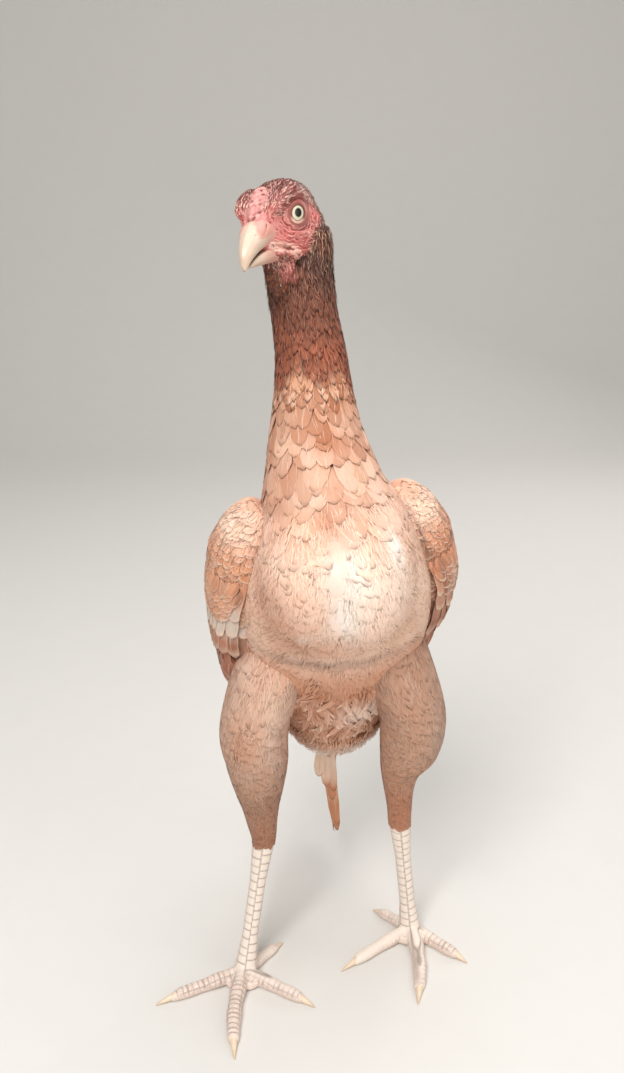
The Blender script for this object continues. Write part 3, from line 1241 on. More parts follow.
def face_ground(p):
    """The bare skin's ground colour over the head, and how bare it is there."""
    side = np.abs(p[..., 1])
    shape = p.shape[:-1]
    cloud = wavy(p, 21, 7.0)
    colour = blend(np.broadcast_to(FACE_RED, (*shape, 3)), FACE_PALE, ramp(cloud, -0.1, 0.8) * 0.45)
    away = np.hypot(p[..., 0] - EYE_PLACE[0], p[..., 2] - EYE_PLACE[2])
    colour = blend(colour, FACE_PALE, ramp(side, 8, 13) * (1 - ramp(away, 8, 15)) * 0.6)
    colour = blend(colour, srgb(116, 50, 44), ramp(p[..., 2] - 0.25 * p[..., 0], 2, 10) * 0.85)
    colour = blend(colour, srgb(128, 64, 54), np.exp(-((away - 7.4) / 1.6)**2) * ramp(side, 8, 12) * 0.7)
    lumps = 0.8 * wavy(p, 23, 3.0, 7)
    comb = (1 - ramp(comb_gap(p) + lumps, -1.2, 3.4)) * ramp(p[..., 0] + 2 * lumps, -4, 6)
    colour = blend(colour, COMB_PINK, comb)
    colour = blend(colour, srgb(244, 202, 196), comb * ramp(lumps, 0.0, 0.8) * 0.8)
    colour = blend(colour, srgb(146, 80, 70), ramp(-p[..., 2], 21, 30) * 0.75)
    snout = 1 - ramp(np.linalg.norm((p - np.array([17, 0, -1])) * [1, 0.6, 1], axis=-1), 4, 13)
    colour = blend(colour, COMB_PINK, snout * 0.6)
    mirrored = p.copy()
    mirrored[..., 1] = side
    lip, _ = near_line(mirrored, MOUTH)
    colour = blend(colour, srgb(238, 194, 176), (1 - ramp(lip, 1.5, 4.5)) * 0.85 * ramp(p[..., 0], 0, 8))
    bare = feather_line(p)
    return blend(blend(UMBER, CHESTNUT, np.full(shape, 0.4)), colour, bare), bare


def feather_line(p):
    """1 where the head is bare and 0 where it is feathered, parted by a ragged line that falls
    from behind the crown past the ear to the gape, with a bare patch on the throat."""
    ragged = 1.6 * wavy(p, 22, 6.0)
    back = -p[..., 0] - 25.0 + ragged
    low = (-p[..., 2] - 26.0 + 0.35 * np.maximum(-p[..., 0] - 12, 0)
           + 0.5 * np.maximum(p[..., 0] - 4, 0) + ragged)
    bare = 1 - np.maximum(ramp(back, -5.0, 4.5), ramp(low, -7.0, 4.0))
    patch = (from_head(p) - WATTLE_PATCH) / WATTLE_SIZE
    return np.maximum(bare, 0.85 * (1 - ramp(np.linalg.norm(patch, axis=-1) + 0.2 * ragged, 0.55, 1.15)))


class HEN_OT_skin(bpy.types.Operator):
    """One skin for the flesh: the fused body under the plumage, and the bare head"""
    bl_idname = "hen.skin"
    bl_label = "Skin"

    def execute(self, context):
        spots, _, faces = remeshed(body_shapes(), sizes().voxel, 4)
        body = spots / MM - SHIFT
        level = TRUNK[::-1]
        at = np.interp(body[:, 2], level[:, 2], np.arange(len(TRUNK))[::-1])
        angle = np.arctan2(-(body[:, 1] - np.interp(body[:, 2], level[:, 2], level[:, 1])),
                           body[:, 0] - np.interp(body[:, 2], level[:, 2], level[:, 0]))
        body_ground = trunk_colour(at, angle % (2 * np.pi)) * 0.8
        head = HEAD_MIDDLE + HEAD_GRID * HEAD.reach[..., None]
        ground, bare = face_ground(head)
        fold = -face_lines(head)
        points, cells = closed_tube(to_frame(from_head(head[1:-1])))
        head_marks = np.stack([fold, bare, 0 * bare], -1)[1:-1].reshape(-1, 3)
        all_points, all_faces = joined([(spots, faces), (points, cells)])
        make_piece("skin", all_points, all_faces, skin_finish(), None,
                   {"ground": np.concatenate([body_ground, ground[1:-1].reshape(-1, 3)])},
                   {"marks": np.concatenate([np.zeros((len(spots), 3)), head_marks])},
                   ("head", "comb", "neck_upper", "neck_lower", "torso", "thigh_left", "thigh_right",
                    "wing_left", "wing_right", "tail"))
        return {"FINISHED"}


# An eyelid's section: out from the opening's edge, and up from the eyeball's face, in millimetres
LID_SECTION = np.array(((-0.50, -1.1), (-0.62, -0.2), (-0.45, 0.30), (-0.1, 0.50), (0.3, 0.44), (0.6, 0.20),
                        (0.9, 0.16), (1.25, 0.26), (1.6, 0.10), (2.1, -0.45), (2.9, -1.9), (2.0, -3.0),
                        (0.6, -2.6)))
EYE_OPENING = (4.7, 4.45)
EYE_FACE = 6.9
# The eyeball's section: out from its axis and along it, round the flattened front to the back
EYE_SECTION = np.array(((0.05, 6.9), (0.8, 6.88), (1.6, 6.82), (2.4, 6.72), (3.2, 6.58), (4.0, 6.40),
                        (4.8, 6.17), (5.6, 5.85), (6.3, 5.2), (7.1, 4.0), (7.8, 2.4), (8.15, 0.5),
                        (8.1, -1.4), (7.4, -3.6), (6.0, -5.6), (4.0, -7.1), (2.0, -7.9), (0.1, -8.2)))


class HEN_OT_eyes(bpy.types.Operator):
    """The two eyes with their clear fronts, and the lids round them"""
    bl_idname = "hen.eyes"
    bl_label = "Eyes and lids"

    def execute(self, context):
        finish = eye_finish()
        lid_paint = lid_finish()
        wide, high = EYE_OPENING
        for side, sign in (("left", 1), ("right", -1)):
            long, upward, facing = (way @ AXES for way in eye_frame(sign))
            section = dense(EYE_SECTION, 70)
            phi = np.linspace(0, 2 * np.pi, 64, endpoint=False)[None, :]
            out, along = section[:, 0:1], section[:, 1:2]
            spots = (eye_centre(sign) + (along + 0 * phi)[..., None] * facing
                     + (out * np.cos(phi))[..., None] * long + (out * np.sin(phi))[..., None] * upward)
            share = out / wide + (along < 4) * 2 + 0 * phi
            uv = np.stack([share, phi / (2 * np.pi) + 0 * out], -1)
            tube_piece(f"eyeball_{side}", spots, finish, f"eye_{side}",
                       uvs={"Iris": uv.reshape(-1, 2)})
            turn = np.linspace(0, 2 * np.pi, 144, endpoint=False)[:, None]
            upper = np.clip(np.sin(turn), 0, 1)
            ripple = 1 + 0.10 * np.sin(turn * 31 + 2 * np.sin(turn * 5)) * (1 - 0.5 * upper)
            out = LID_SECTION[None, :, 0] * (0.9 + 0.1 * ripple)
            lift = EYE_FACE - 0.95 + LID_SECTION[None, :, 1] * ripple + 0.25 * upper
            across, rise = (wide + out) * np.cos(turn), (high + out) * np.sin(turn)
            spots = (eye_centre(sign) + across[..., None] * long + rise[..., None] * upward
                     + lift[..., None] * facing)
            count = LID_SECTION.shape[0]
            cells = grid_quads(144, count)
            last = np.stack([np.arange(count) + 143 * count, np.roll(np.arange(count), -1) + 143 * count,
                             np.roll(np.arange(count), -1), np.arange(count)], -1)
            rim = 1 - ramp(LID_SECTION[None, :, 0] + 0 * turn, -0.3, 0.5)
            crease = ramp(LID_SECTION[None, :, 0] + 0 * turn, 1.7, 2.7)
            lower = np.clip(-np.sin(turn - 0.35), 0, 1) + 0 * rim
            marks = np.stack([rim, crease, lower], -1).reshape(-1, 3)
            make_piece(f"lids_{side}", to_frame(spots).reshape(-1, 3), [cells, last], lid_paint,
                       vectors={"marks": marks})
        return {"FINISHED"}


def beak_grid(sections, rows, around, square_low, square_high, shrink=0.0):
    """A beak's half as rings: half ellipses above and below, each with its own squareness,
    on sections along a smooth curve. Gives places in the head's frame and the section rows."""
    here = smooth_path(sections, np.linspace(0, len(sections) - 1, rows))
    angle = np.linspace(0, 2 * np.pi, around, endpoint=False)
    c, s = np.cos(angle), np.sin(angle)
    power = np.where(s > 0, square_high, square_low)
    across = np.sign(c) * np.abs(c)**power
    high = np.sign(s) * np.abs(s)**power
    spots = np.zeros((rows, around, 3))
    spots[..., 0] = here[:, 0:1]
    spots[..., 1] = (here[:, 2:3] - shrink) * across
    spots[..., 2] = here[:, 1:2] + (here[:, 3:4] - shrink) * high
    return spots, here, angle


NOSTRIL = ((20.0, 8.0, 2.0), (22.5, 7.6, -0.6), (25.0, 7.0, -2.0), (27.5, 6.0, -2.4), (29.3, 4.8, -1.1))
FLAP = (23.5, 6.4, 1.2)


class HEN_OT_beak(bpy.types.Operator):
    """The upper and lower halves of the beak, with its ridge, cutting edge and nostrils"""
    bl_idname = "hen.beak"
    bl_label = "Beak"

    def execute(self, context):
        finish = horn_finish("beak_horn", srgb(216, 190, 170), srgb(208, 178, 154), srgb(216, 150, 138))
        spots, here, angle = beak_grid(UPPER_BEAK, 150, 144, 0.72, 1.02)
        probe = spots.copy()
        probe[..., 1] = np.abs(spots[..., 1])
        forward, aside, up = (probe[..., k] for k in range(3))
        slit, _ = near_line(probe, NOSTRIL)
        flap = np.linalg.norm((probe - np.array(FLAP)) * [0.50, 0.8, 0.62], axis=-1)
        raised = 0.8 * np.exp(-(flap / 2.4)**2)
        sunk = 1.3 * np.exp(-(slit / 0.50)**2)
        ridge = 0.35 * np.exp(-(np.cos(angle) / 0.18)**2) * (np.sin(angle) > 0)
        outward = unit(spots - np.stack([here[:, 0], 0 * here[:, 0], here[:, 1]], -1)[:, None, :])
        spots = spots + outward * (raised - sunk + ridge)[..., None]
        limit = np.where(up > -3.5, np.interp(aside, (0, 3, 6), (21.5, 25.0, 30.0)), 21.0)
        cloud = wavy(spots, 51, 5.0)
        root = 1 - ramp(forward + 1.6 * cloud, limit - 3.5, limit + 1.5)
        root = np.clip(root * (0.30 + 0.70 * ramp(up + cloud, -9, -1)), 0, 1)
        root = np.maximum(root, (1 - ramp(forward + 1.5 * cloud, 17, 28)) * ramp(-up, 1.0, 4.0) * 0.9)
        edge = np.exp(-((spots[..., 2] - (here[:, 1:2] - here[:, 3:4])) / 0.5)**2) * 0.3
        marks = np.stack([root, ramp(spots[..., 0], 34, 42) * 0.3,
                          np.clip(np.exp(-(slit / 0.42)**2) * 0.9 + edge, 0, 1)], -1)
        tube_piece("upper_beak", from_head(spots), finish, "beak_upper", marks)
        spots, here, angle = beak_grid(LOWER_BEAK, 110, 96, 0.95, 0.5, 0.15)
        top = here[:, 1:2] + here[:, 3:4]
        edge = ramp(spots[..., 2], top - 1.0, top - 0.1) * 0.55
        root = (1 - ramp(here[:, 0:1] + 1.5 * wavy(spots, 52, 5.0), 18, 32)) * 0.95
        marks = np.stack([root, 0.25 + 0 * root, edge], -1)
        tube_piece("lower_beak", from_head(spots), finish, "beak_lower", marks)
        return {"FINISHED"}


class HEN_OT_neck_feathers(bpy.types.Operator):
    """Narrow dark hackles on the upper neck, and scale-like feathers below them"""
    bl_idname = "hen.neck_feathers"
    bl_label = "Neck feathers"

    def execute(self, context):
        full = (-np.pi / 2, 1.5 * np.pi)
        trunk_coat("hackles", 31,
            feather_finish("hackle", srgb(60, 26, 18), tints().hackle_tip, 0.6, 0.18, 0.0),
            "neck_plumage", 1.6, 5.55, *full, ((2, 3.6), (5.3, 5.4)), ((2, 2.8), (5.3, 4.2)),
            ((2, 11), (5.3, 20)), ((2, 3.8), (5.3, 6.6)), POINTED_TIP, ((2, 0.5), (5.3, 0.75)),
            ((2, 0.6), (5.3, 0.45)), spread=0.14, lift=0.3, light=0.11, bend=0.05, camber=0.16)
        trunk_coat("hackle_strands", 33, strand_finish("hackle_strand", 0.0), "neck_plumage", 1.5, 5.6,
            *full, ((2, 3.0), (5.3, 4.4)), ((2, 2.2), (5.3, 3.4)), ((2, 7), (5.3, 12)),
            ((2, 0.45), (5.3, 0.6)), STRAND_TIP, ((2, 0.16), (5.3, 0.2)), 0.3, spread=0.16, lift=0.4,
            light=0.3, bend=0.08, sunk=0.1, strand=True)
        coat = Coat("cheek_streaks", 35, strand=True)
        for start, end in ((-0.2, 1.45), (np.pi - 1.45, np.pi + 0.2)):
            plant_trunk(coat, 1.5, 3.7, start, end, ((1.5, 2.4), (3.7, 4.0)), ((1.5, 1.7), (3.7, 3.2)),
                        ((1.5, 6), (3.7, 8)), 0.6, STRAND_TIP,
                        ((1.5, 0.9), (2.4, 0.55), (3.7, 0.2)), 0.1, spread=0.3, lift=0.9,
                        light=0.3, bend=0.1, sunk=0.1)
        coat.make(strand_finish("cheek_streak", 0.0, srgb(236, 190, 160)), "neck_plumage")
        trunk_coat("neck_feathers", 32,
            feather_finish("neck_feather", tints().brown_rim, SNOW, 0.86, 0.2), "neck_plumage", 5.1, 8.5,
            *full, ((5, 5.0), (6, 8.2), (8.5, 10.0)), ((5, 4.8), (6, 7.6), (8.5, 9.4)),
            ((5, 15), (7, 25), (8.5, 30)), ((5, 7.0), (6, 10.5), (7, 12.5), (8.5, 15.0)), ROUND_TIP,
            ((5, 1.0), (6, 0.8), (7, 0.55), (7.8, 0.4), (8.5, 0.12)), ((5, 0.2), (8.3, 0.08)),
            spread=0.14, lift=0.12, light=0.04, camber=0.04)
        trunk_coat("neck_strands", 34, strand_finish("neck_strand"), "neck_plumage", 6.0, 8.6, *full, 9,
            6.5, ((5, 9), (8.5, 13)), ((5, 0.4), (8.5, 0.45)), STRAND_TIP, 0.2, 0.3, spread=0.2,
            lift=0.15, light=0.07, bend=0.1, sunk=0.05, strand=True)
        return {"FINISHED"}


class HEN_OT_body_feathers(bpy.types.Operator):
    """Silky feathers of the breast and belly, and those of the back and rump"""
    bl_idname = "hen.body_feathers"
    bl_label = "Body feathers"

    def execute(self, context):
        silky = feather_finish("body_feather", tints().brown_rim, SNOW, 0.88, 0.3, 0.02)
        trunk_coat("breast_feathers", 41, silky, "plumage", 8.2, 16.2, -0.35, np.pi + 0.35,
            ((8, 9), (11, 9), (15, 7)), ((8, 8.6), (11, 8.0), (15, 7)), ((8, 30), (11, 34), (15, 24)),
            ((8, 15), (11, 15), (15, 11)), ROUND_TIP, ((8, 0.35), (9.0, 0.10), (12, 0.15)),
            ((8, 0.06), (15, 0.1)), spread=0.26, lift=0.05, curl=0.0, tilt=0.012, camber=0.015,
            light=0.03, bend=0.12, sunk=0.45)
        silk = strand_finish("silk", 0.02)
        for name, seed, start, end in (("upper_silk", 43, 8.2, 9.9), ("lower_silk", 44, 9.7, 12.2)):
            trunk_coat(name, seed, silk, "plumage", start, end, -0.2, np.pi + 0.2,
                ((8, 4.0), (9, 3.8), (12, 4.4)), ((8, 3.0), (9, 2.6), (12, 3.0)),
                ((8, 14), (9, 22), (12, 20)), ((8, 0.7), (9, 0.8), (12, 0.8)), STRAND_TIP,
                ((8, 0.15), (12, 0.2)), ((8, 0.0), (12, 0.05)), spread=0.14, lift=0.12, light=0.02,
                bend=0.16, sunk=0.02, swirl=0.25, strand=True)
        coat = Coat("belly_silk", 45, strand=True)
        plant_trunk(coat, 12.0, 15.9, -0.3, np.pi + 0.3, ((12, 4.4), (16, 2.8)),
                    ((12, 3.4), (16, 2.2)), ((12, 16), (14, 15), (16, 13)),
                    0.9, STRAND_TIP, ((12, 0.12), (16, 0.3)),
                    0.1, spread=0.22, lift=0.2, light=0.06, bend=0.16, sunk=0.05,
                    swirl=0.5)
        warm = strand_finish("warm_silk", 0.02, srgb(246, 204, 172))
        coat.make(warm, "plumage")
        trunk_coat("belly_locks", 49,
            feather_finish("belly_lock", srgb(250, 218, 194), SNOW, 0.45, 0.35, 0.08), "plumage", 11.7,
            13.6, 1.0, 2.1, 7.0, 6.4, 21, ((11, 5.4), (15, 5.0)), POINTED_TIP, ((11, 0.9), (15, 0.8)),
            0.5, spread=0.4, lift=1.6, light=0.07, bend=0.35, curl=1.0, camber=0.10, sunk=0.3, swirl=1.2)
        coat = Coat("belly_curls", 46, strand=True)

        def in_locks(at, angle):
            return ramp(mottle(at, angle, 47, 0.55, 0.34), 0.2, 0.6)

        plant_trunk(coat, 11.7, 13.8, 0.95, 2.2, 2.0, 1.6,
                    ((11, 15), (15, 19)), 0.8, STRAND_TIP,
                    0.6, 0.15, spread=0.3, lift=1.6,
                    light=0.06, bend=0.12, curl=1.4, sunk=0.05, only=in_locks, swirl=0.9)
        coat.make(warm, "plumage")
        trunk_coat("back_feathers", 42, feather_finish("back_feather", tints().pale_rim, SNOW, 0.8, 0.2),
            "plumage", 8.2, 16.2, np.pi + 0.3, 2 * np.pi - 0.3, ((8, 8), (15, 7)), ((8, 7.6), (15, 7)),
            ((8, 25), (11, 28), (15, 24)), ((8, 13), (11, 15), (15, 12)), ROUND_TIP, 0.6,
            ((8, 0.15), (15, 0.2)), spread=0.12, light=0.06)
        return {"FINISHED"}


# Markings of the thighs: place down, place round, half sizes, colour and strength
THIGH_MARKS = {
    "right": ((1.85, 1.95, 0.55, 0.45, CINNAMON, 0.50), (1.30, 1.70, 0.45, 0.60, CREAM, 0.55),
              (1.95, 0.95, 0.60, 0.35, CREAM, 0.75), (1.40, 2.90, 0.50, 0.50, CREAM, 0.35),
              (3.40, 1.70, 0.70, 0.80, WHEAT, 0.45)),
    "left": ((1.30, 1.00, 0.50, 0.40, CINNAMON, 0.35), (2.30, 0.80, 0.60, 0.40, CREAM, 0.55),
             (2.70, 1.80, 0.60, 0.60, WHEAT, 0.50), (1.50, 1.50, 0.50, 0.40, BUFF, 0.45)),
}
HOCK_BROWN = {"right": (5.6, 6.6), "left": (4.4, 5.4)}
# How light each thigh is from top to hock
THIGH_SHADE = {"right": ((0.5, 2.0, 4.0, 6.0), (0.78, 0.71, 0.54, 0.66)),
               "left": ((0.5, 2.0, 4.0, 6.0), (0.66, 0.57, 0.70, 0.85))}


def thigh_colour(side, at, angle):
    """Pale wheat down to a browner hock, mottled, with the side's own markings."""
    low, high = HOCK_BROWN[side]
    fine = mottle(at, angle, 16, 0.5, 0.5)
    pale = 0.25 if side == "right" else -0.05
    colour = blend(WHEAT, CREAM, np.clip(pale + 0.35 * mottle(at, angle, 15, 1.6, 1.3) + 0.15 * fine, 0, 1))
    colour = blend(colour, BUFF, ramp(at, 1.0 if side == "left" else 2.2, 4.2) * 0.9)
    colour = blend(colour, CINNAMON, ramp(at, 2.8, 5.6) * 0.5)
    colour = marked(colour, THIGH_MARKS[side], at, angle, 0.18 * fine)
    colour = blend(colour, CINNAMON, ramp(at + 0.25 * fine, low, high) * 0.85)
    return colour * np.interp(at, *THIGH_SHADE[side])[..., None]


class HEN_OT_thigh_feathers(bpy.types.Operator):
    """Feathers of the thighs, short and brown above the hocks"""
    bl_idname = "hen.thigh_feathers"
    bl_label = "Thigh feathers"

    def execute(self, context):
        finish = feather_finish("thigh_feather", tints().brown_rim, SNOW, 0.88, 0.3, 0.02)
        silk = strand_finish("thigh_silk", 0.02)
        for seed, side in ((51, "right"), (52, "left")):
            surface, ground = partial(leg_surface, side), partial(thigh_colour, side)
            centre = surface(np.array([3.0, 3.0]), np.array([0, np.pi])).mean(0)
            hand = surface_hand(surface, 3.0, 0.0, centre)
            coat = Coat(f"thigh_feathers_{side}", seed)
            draw = coat.draw
            a, b = rows_of_roots(surface, 0.0, 6.9, ((0, 8.5), (4, 6.5), (6, 4.5), (7, 3.0)), 0, 2 * np.pi,
                                 ((0, 7.6), (4, 6.0), (6, 3.8), (7, 3.0)), draw)
            count = len(a)
            coat.add(surface, hand, (a, b), draw.normal(0, 0.2, count),
                     np.interp(a, (0, 3, 5.4, 6.6, 7), (26, 22, 15, 9, 6))
                     * draw.uniform(0.85, 1.15, count),
                     np.interp(a, (0, 3, 5.4, 6.6, 7), (14, 12, 8, 5.0, 3.6))
                     * draw.uniform(0.9, 1.1, count),
                     ROUND_TIP, sunk=np.interp(a, (0, 3, 7), (1.8, 1.6, 0.9)),
                     rise=draw.uniform(0.0, 0.1, count), camber=0.03, tilt=draw.normal(0, 0.015, count),
                     curl=draw.uniform(0, 0.1, count), bend=draw.normal(0, 0.06, count),
                     ground=ground, shade=varied(draw, count, 0.04, 0.03),
                     marks=coat_marks(count, draw, 0.22, 0.08),
                     bake=(turn_share(b), np.clip(a / 7.2, 0, 1)))
            coat.make(finish, "plumage")
            coat = Coat(f"thigh_silk_{side}", seed + 4, strand=True)
            draw = coat.draw
            a, b = rows_of_roots(surface, 0.0, 6.94, ((0, 4.6), (6, 3.0), (7, 1.4)), 0, 2 * np.pi,
                                 ((0, 3.0), (6, 2.2), (7, 1.2)), draw)
            count = len(a)
            swirl = 0.35 * mottle(a, b, seed, 1.4, 1.1)
            coat.add(surface, hand, (a, b), swirl + draw.normal(0, 0.18, count),
                     np.interp(a, (0, 5, 6.6, 7), (17, 12, 8, 5)) * draw.uniform(0.7, 1.2, count),
                     np.interp(a, (0, 6, 7), (0.8, 0.7, 0.6)), STRAND_TIP, sunk=0.1,
                     rise=draw.uniform(0.0, 0.2, count), thick=0.15, bend=draw.normal(0, 0.15, count),
                     ground=ground, shade=varied(draw, count, 0.05, 0.04),
                     marks=coat_marks(count, draw, 0.2, 0.1),
                     bake=(turn_share(b), np.clip(a / 7.2, 0, 1)))
            coat.make(silk, "plumage")
        return {"FINISHED"}


# Markings of the wings: place down, place round, half sizes, colour and strength
WING_MARKS = {
    "right": ((80, 0.3, 13, 0.30, ASH, 0.9), (3, 1.4, 12, 1.2, CREAM, 0.8), (26, 1.0, 14, 0.6, BUFF, 0.5),
              (45, -0.05, 40, 0.12, UMBER, 0.5), (36, 0.4, 10, 0.4, BUFF, 0.5)),
    "left": ((4, 1.2, 9, 1.4, CREAM, 0.7), (20, 0.20, 22, 0.10, UMBER, 0.75),
             (50, 0.25, 20, 0.14, UMBER, 0.5),
             (66, 0.5, 24, 0.35, CHESTNUT, 0.75), (18, -0.35, 12, 0.28, CINNAMON, 0.6),
             (58, 0.62, 12, 0.06, ASH, 0.8), (70, 0.48, 10, 0.05, ASH, 0.7)),
}


def wing_colour(side, p, angle):
    """Wing plumage round the wing: pale at the shoulder and along the breast, cinnamon coverts,
    chestnut beyond them, and the side's own markings."""
    fine = mottle(p, angle, 26, 9.0, 0.5)
    colour = blend(CINNAMON, BUFF, 0.25 + 0.45 * mottle(p, angle, 25, 30.0, 1.2))
    colour = blend(colour, WHEAT, (1 - ramp(p, 4, 26)) * 0.8)
    colour = blend(colour, RUSSET, ramp(p + 4 * fine, 90, 100) * 0.9)
    colour = marked(colour, WING_MARKS[side], p, angle, 0.15 * fine)
    return blend(colour, blend(WHEAT, CREAM, 0.4 + 0.3 * fine), 1 - ramp(angle, -0.45, -0.12))


def flight_colour(side, p, q):
    """Long wing feathers: cinnamon at their roots, ash where the large coverts end, mostly on
    the right wing, and chestnut at the tips."""
    ashy = ramp(p, 50, 56) * (1 - ramp(p, 84, 89)) * ramp(q, -20, 10)
    colour = blend(CINNAMON, ASH, ashy * (0.95 if side == "right" else 0.2))
    colour = blend(colour, CHESTNUT, ramp(p, 86 if side == "right" else 70, 98) * 0.8)
    return blend(colour, BUFF, ramp(mottle(p, q, 27, 40, 14), 0.1, 0.8) * 0.3)


# Tiers of long wing feathers: count, width, root at the back and front edges, tip at both,
# the height of root and tip over the outer face, and how much each tilts over the next
WING_TIERS = (
    (9, 13.0, (118, -16), (114, 24), (204, -17), (215, -2), -10.0, -3.0, 0.07),
    (13, 15.5, (72, -32), (76, 30), (152, -33), (188, 16), -7.5, -1.8, 0.09),
    (14, 12.0, (52, -30), (56, 35), (104, -34), (108, 35), -4.5, -1.3, 0.05),
    (12, 11.0, (44, -30), (46, 35), (84, -34), (89, 37), -3.6, -0.7, 0.05),
    (14, 10.0, (36, -30), (36, 36), (70, -34), (74, 38), -3.2, -0.3, 0.04),
)


class HEN_OT_wing_feathers(bpy.types.Operator):
    """Both wings: tiers of long feathers, and small coverts over shoulder and front edge"""
    bl_idname = "hen.wing_feathers"
    bl_label = "Wing feathers"

    def execute(self, context):
        finish = feather_finish("wing_feather", tints().pale_rim, srgb(232, 200, 174), 0.6, 0.35)
        silk = strand_finish("wing_silk")
        inner = np.array([BODY_MIDDLE_X, 0, 300.0])
        for seed, side in ((61, "right"), (62, "left")):
            coat = Coat(f"wing_feathers_{side}", seed)
            draw = coat.draw
            face, around = partial(wing_face, side), partial(wing_round, side)
            ground, flight = partial(wing_colour, side), partial(flight_colour, side)
            hand = surface_hand(face, 60.0, 0.0, inner)
            for count, width, root_b, root_f, tip_b, tip_f, low, high, tilt in WING_TIERS:
                share = np.linspace(0, 1, count)
                root = blend(np.array(root_b, float), np.array(root_f, float), share)
                tip = blend(np.array(tip_b, float), np.array(tip_f, float), share)
                tip[:, 0] += draw.uniform(-4.0, 2.0, count)
                way = tip - root
                long = np.hypot(way[:, 0], way[:, 1])
                coat.add(face, hand, (root[:, 0], root[:, 1]), np.arctan2(way[:, 1], way[:, 0]), long,
                         width * draw.uniform(0.94, 1.06, count), BROAD_TIP, sunk=-low, rise=high,
                         camber=0.06, tilt=tilt, thick=0.35, ground=flight,
                         shade=varied(draw, count, 0.07, 0.04), marks=coat_marks(count, draw, 0.7, 0.35),
                         bake=((root[:, 1] + 45) / 90, (root[:, 0] + 10) / 235))
            zones = ((-5.9, 30, -1.57, 4.71, 3.8, 4.6, 4.4, 5.6), (30, 63, -1.3, 3.4, 4.6, 5.8, 5.4, 6.8),
                     (63, 112, -1.3, 0.12, 6.4, 8.0, 6.8, 8.6), (112, 206, -1.3, 0.7, 9, 10, 9, 10),
                     (62, 206, 2.75, 4.5, 8, 10, 8, 9))
            hand = surface_hand(around, 60.0, 1.57, inner)
            for start, end, low, high, row_a, row_b, pitch_a, pitch_b in zones:
                a, b = rows_of_roots(around, start, end, ((start, row_a), (end, row_b)), low, high,
                                     ((start, pitch_a), (end, pitch_b)), draw)
                count = len(a)
                size = np.interp(a, (-6, 20, 60, 90, 112, 206), (0.62, 0.85, 1.05, 1.35, 1.8, 2.0))
                coat.add(around, hand, (a, b), draw.normal(0, 0.13, count) + 0.12 * np.sin(b),
                         14.5 * size * draw.uniform(0.88, 1.12, count),
                         8.6 * size**0.8 * draw.uniform(0.92, 1.08, count), ROUND_TIP, sunk=2.4,
                         rise=draw.uniform(0.0, 0.45, count), camber=0.16,
                         tilt=draw.normal(0.01, 0.03, count),
                         thick=0.25, ground=ground, shade=varied(draw, count, 0.08, 0.05),
                         marks=coat_marks(count, draw, 0.9, 0.3),
                         bake=(np.clip((b + 1.6) / 6.4, 0, 1), (a + 10) / 235))

            def over(p, q):
                front, behind = np.interp(p, WING_AT, WING_FRONT), np.interp(p, WING_AT, WING_BEHIND)
                across = (q - (front + behind) / 2) / ((front - behind) / 2)
                return wing_colour(side, p, np.arccos(np.clip(across, -1, 1)))

            a, b = rows_of_roots(face, 34.0, 56.0, ((30, 5.0), (60, 6.0)), -36.0, 36.0,
                                 ((30, 5.6), (60, 6.8)), draw)
            count = len(a)
            coat.add(face, surface_hand(face, 60.0, 0.0, inner), (a, b), draw.normal(0, 0.12, count),
                     14.5 * draw.uniform(0.9, 1.1, count), 8.8 * draw.uniform(0.92, 1.08, count), ROUND_TIP,
                     sunk=2.2, rise=draw.uniform(0.1, 0.5, count), camber=0.14,
                     tilt=draw.normal(0.01, 0.03, count),
                     thick=0.25, ground=over, shade=varied(draw, count, 0.08, 0.05),
                     marks=coat_marks(count, draw, 0.9, 0.3), bake=((b + 45) / 90, (a + 10) / 235))
            coat.make(finish, "wing_plumage")
            coat = Coat(f"wing_silk_{side}", seed + 4, strand=True)
            draw = coat.draw
            a, b = rows_of_roots(around, -5.9, 55, ((-6, 2.6), (60, 6.5)), -1.4, 2.2,
                                 ((-6, 2.0), (60, 5.0)), draw)
            count = len(a)
            pale = draw.uniform(0, 1, count) < 0.7
            shade = varied(draw, count, 0.10, 0.05) * np.where(pale, 1.08, 0.55)[:, None]
            coat.add(around, hand, (a, b), draw.normal(0, 0.25, count), draw.uniform(6, 11, count),
                     0.5, STRAND_TIP, sunk=0.2, rise=draw.uniform(0.2, 0.9, count),
                     bend=draw.normal(0, 0.15, count),
                     ground=ground, shade=shade, marks=coat_marks(count, draw, 0.25, 0.2),
                     bake=(np.clip((b + 1.6) / 6.4, 0, 1), (a + 10) / 235))
            coat.make(silk, "wing_plumage")
        return {"FINISHED"}


# Tiers of the tail's fan: turns from its axis in degrees, reaches, width, and how far out the
# first feather lies and each next one
TAIL_TIERS = (
    (np.linspace(12, 32, 6), np.array([109, 113, 114, 111, 106, 99]), 15.5, 0.7, 0.75),
    (np.linspace(15, 38, 9), np.linspace(60, 50, 9), 12.0, 3.2, 0.15),
    (np.linspace(15, 44, 11), np.linspace(42, 36, 11), 11.0, 4.6, 0.15),
)


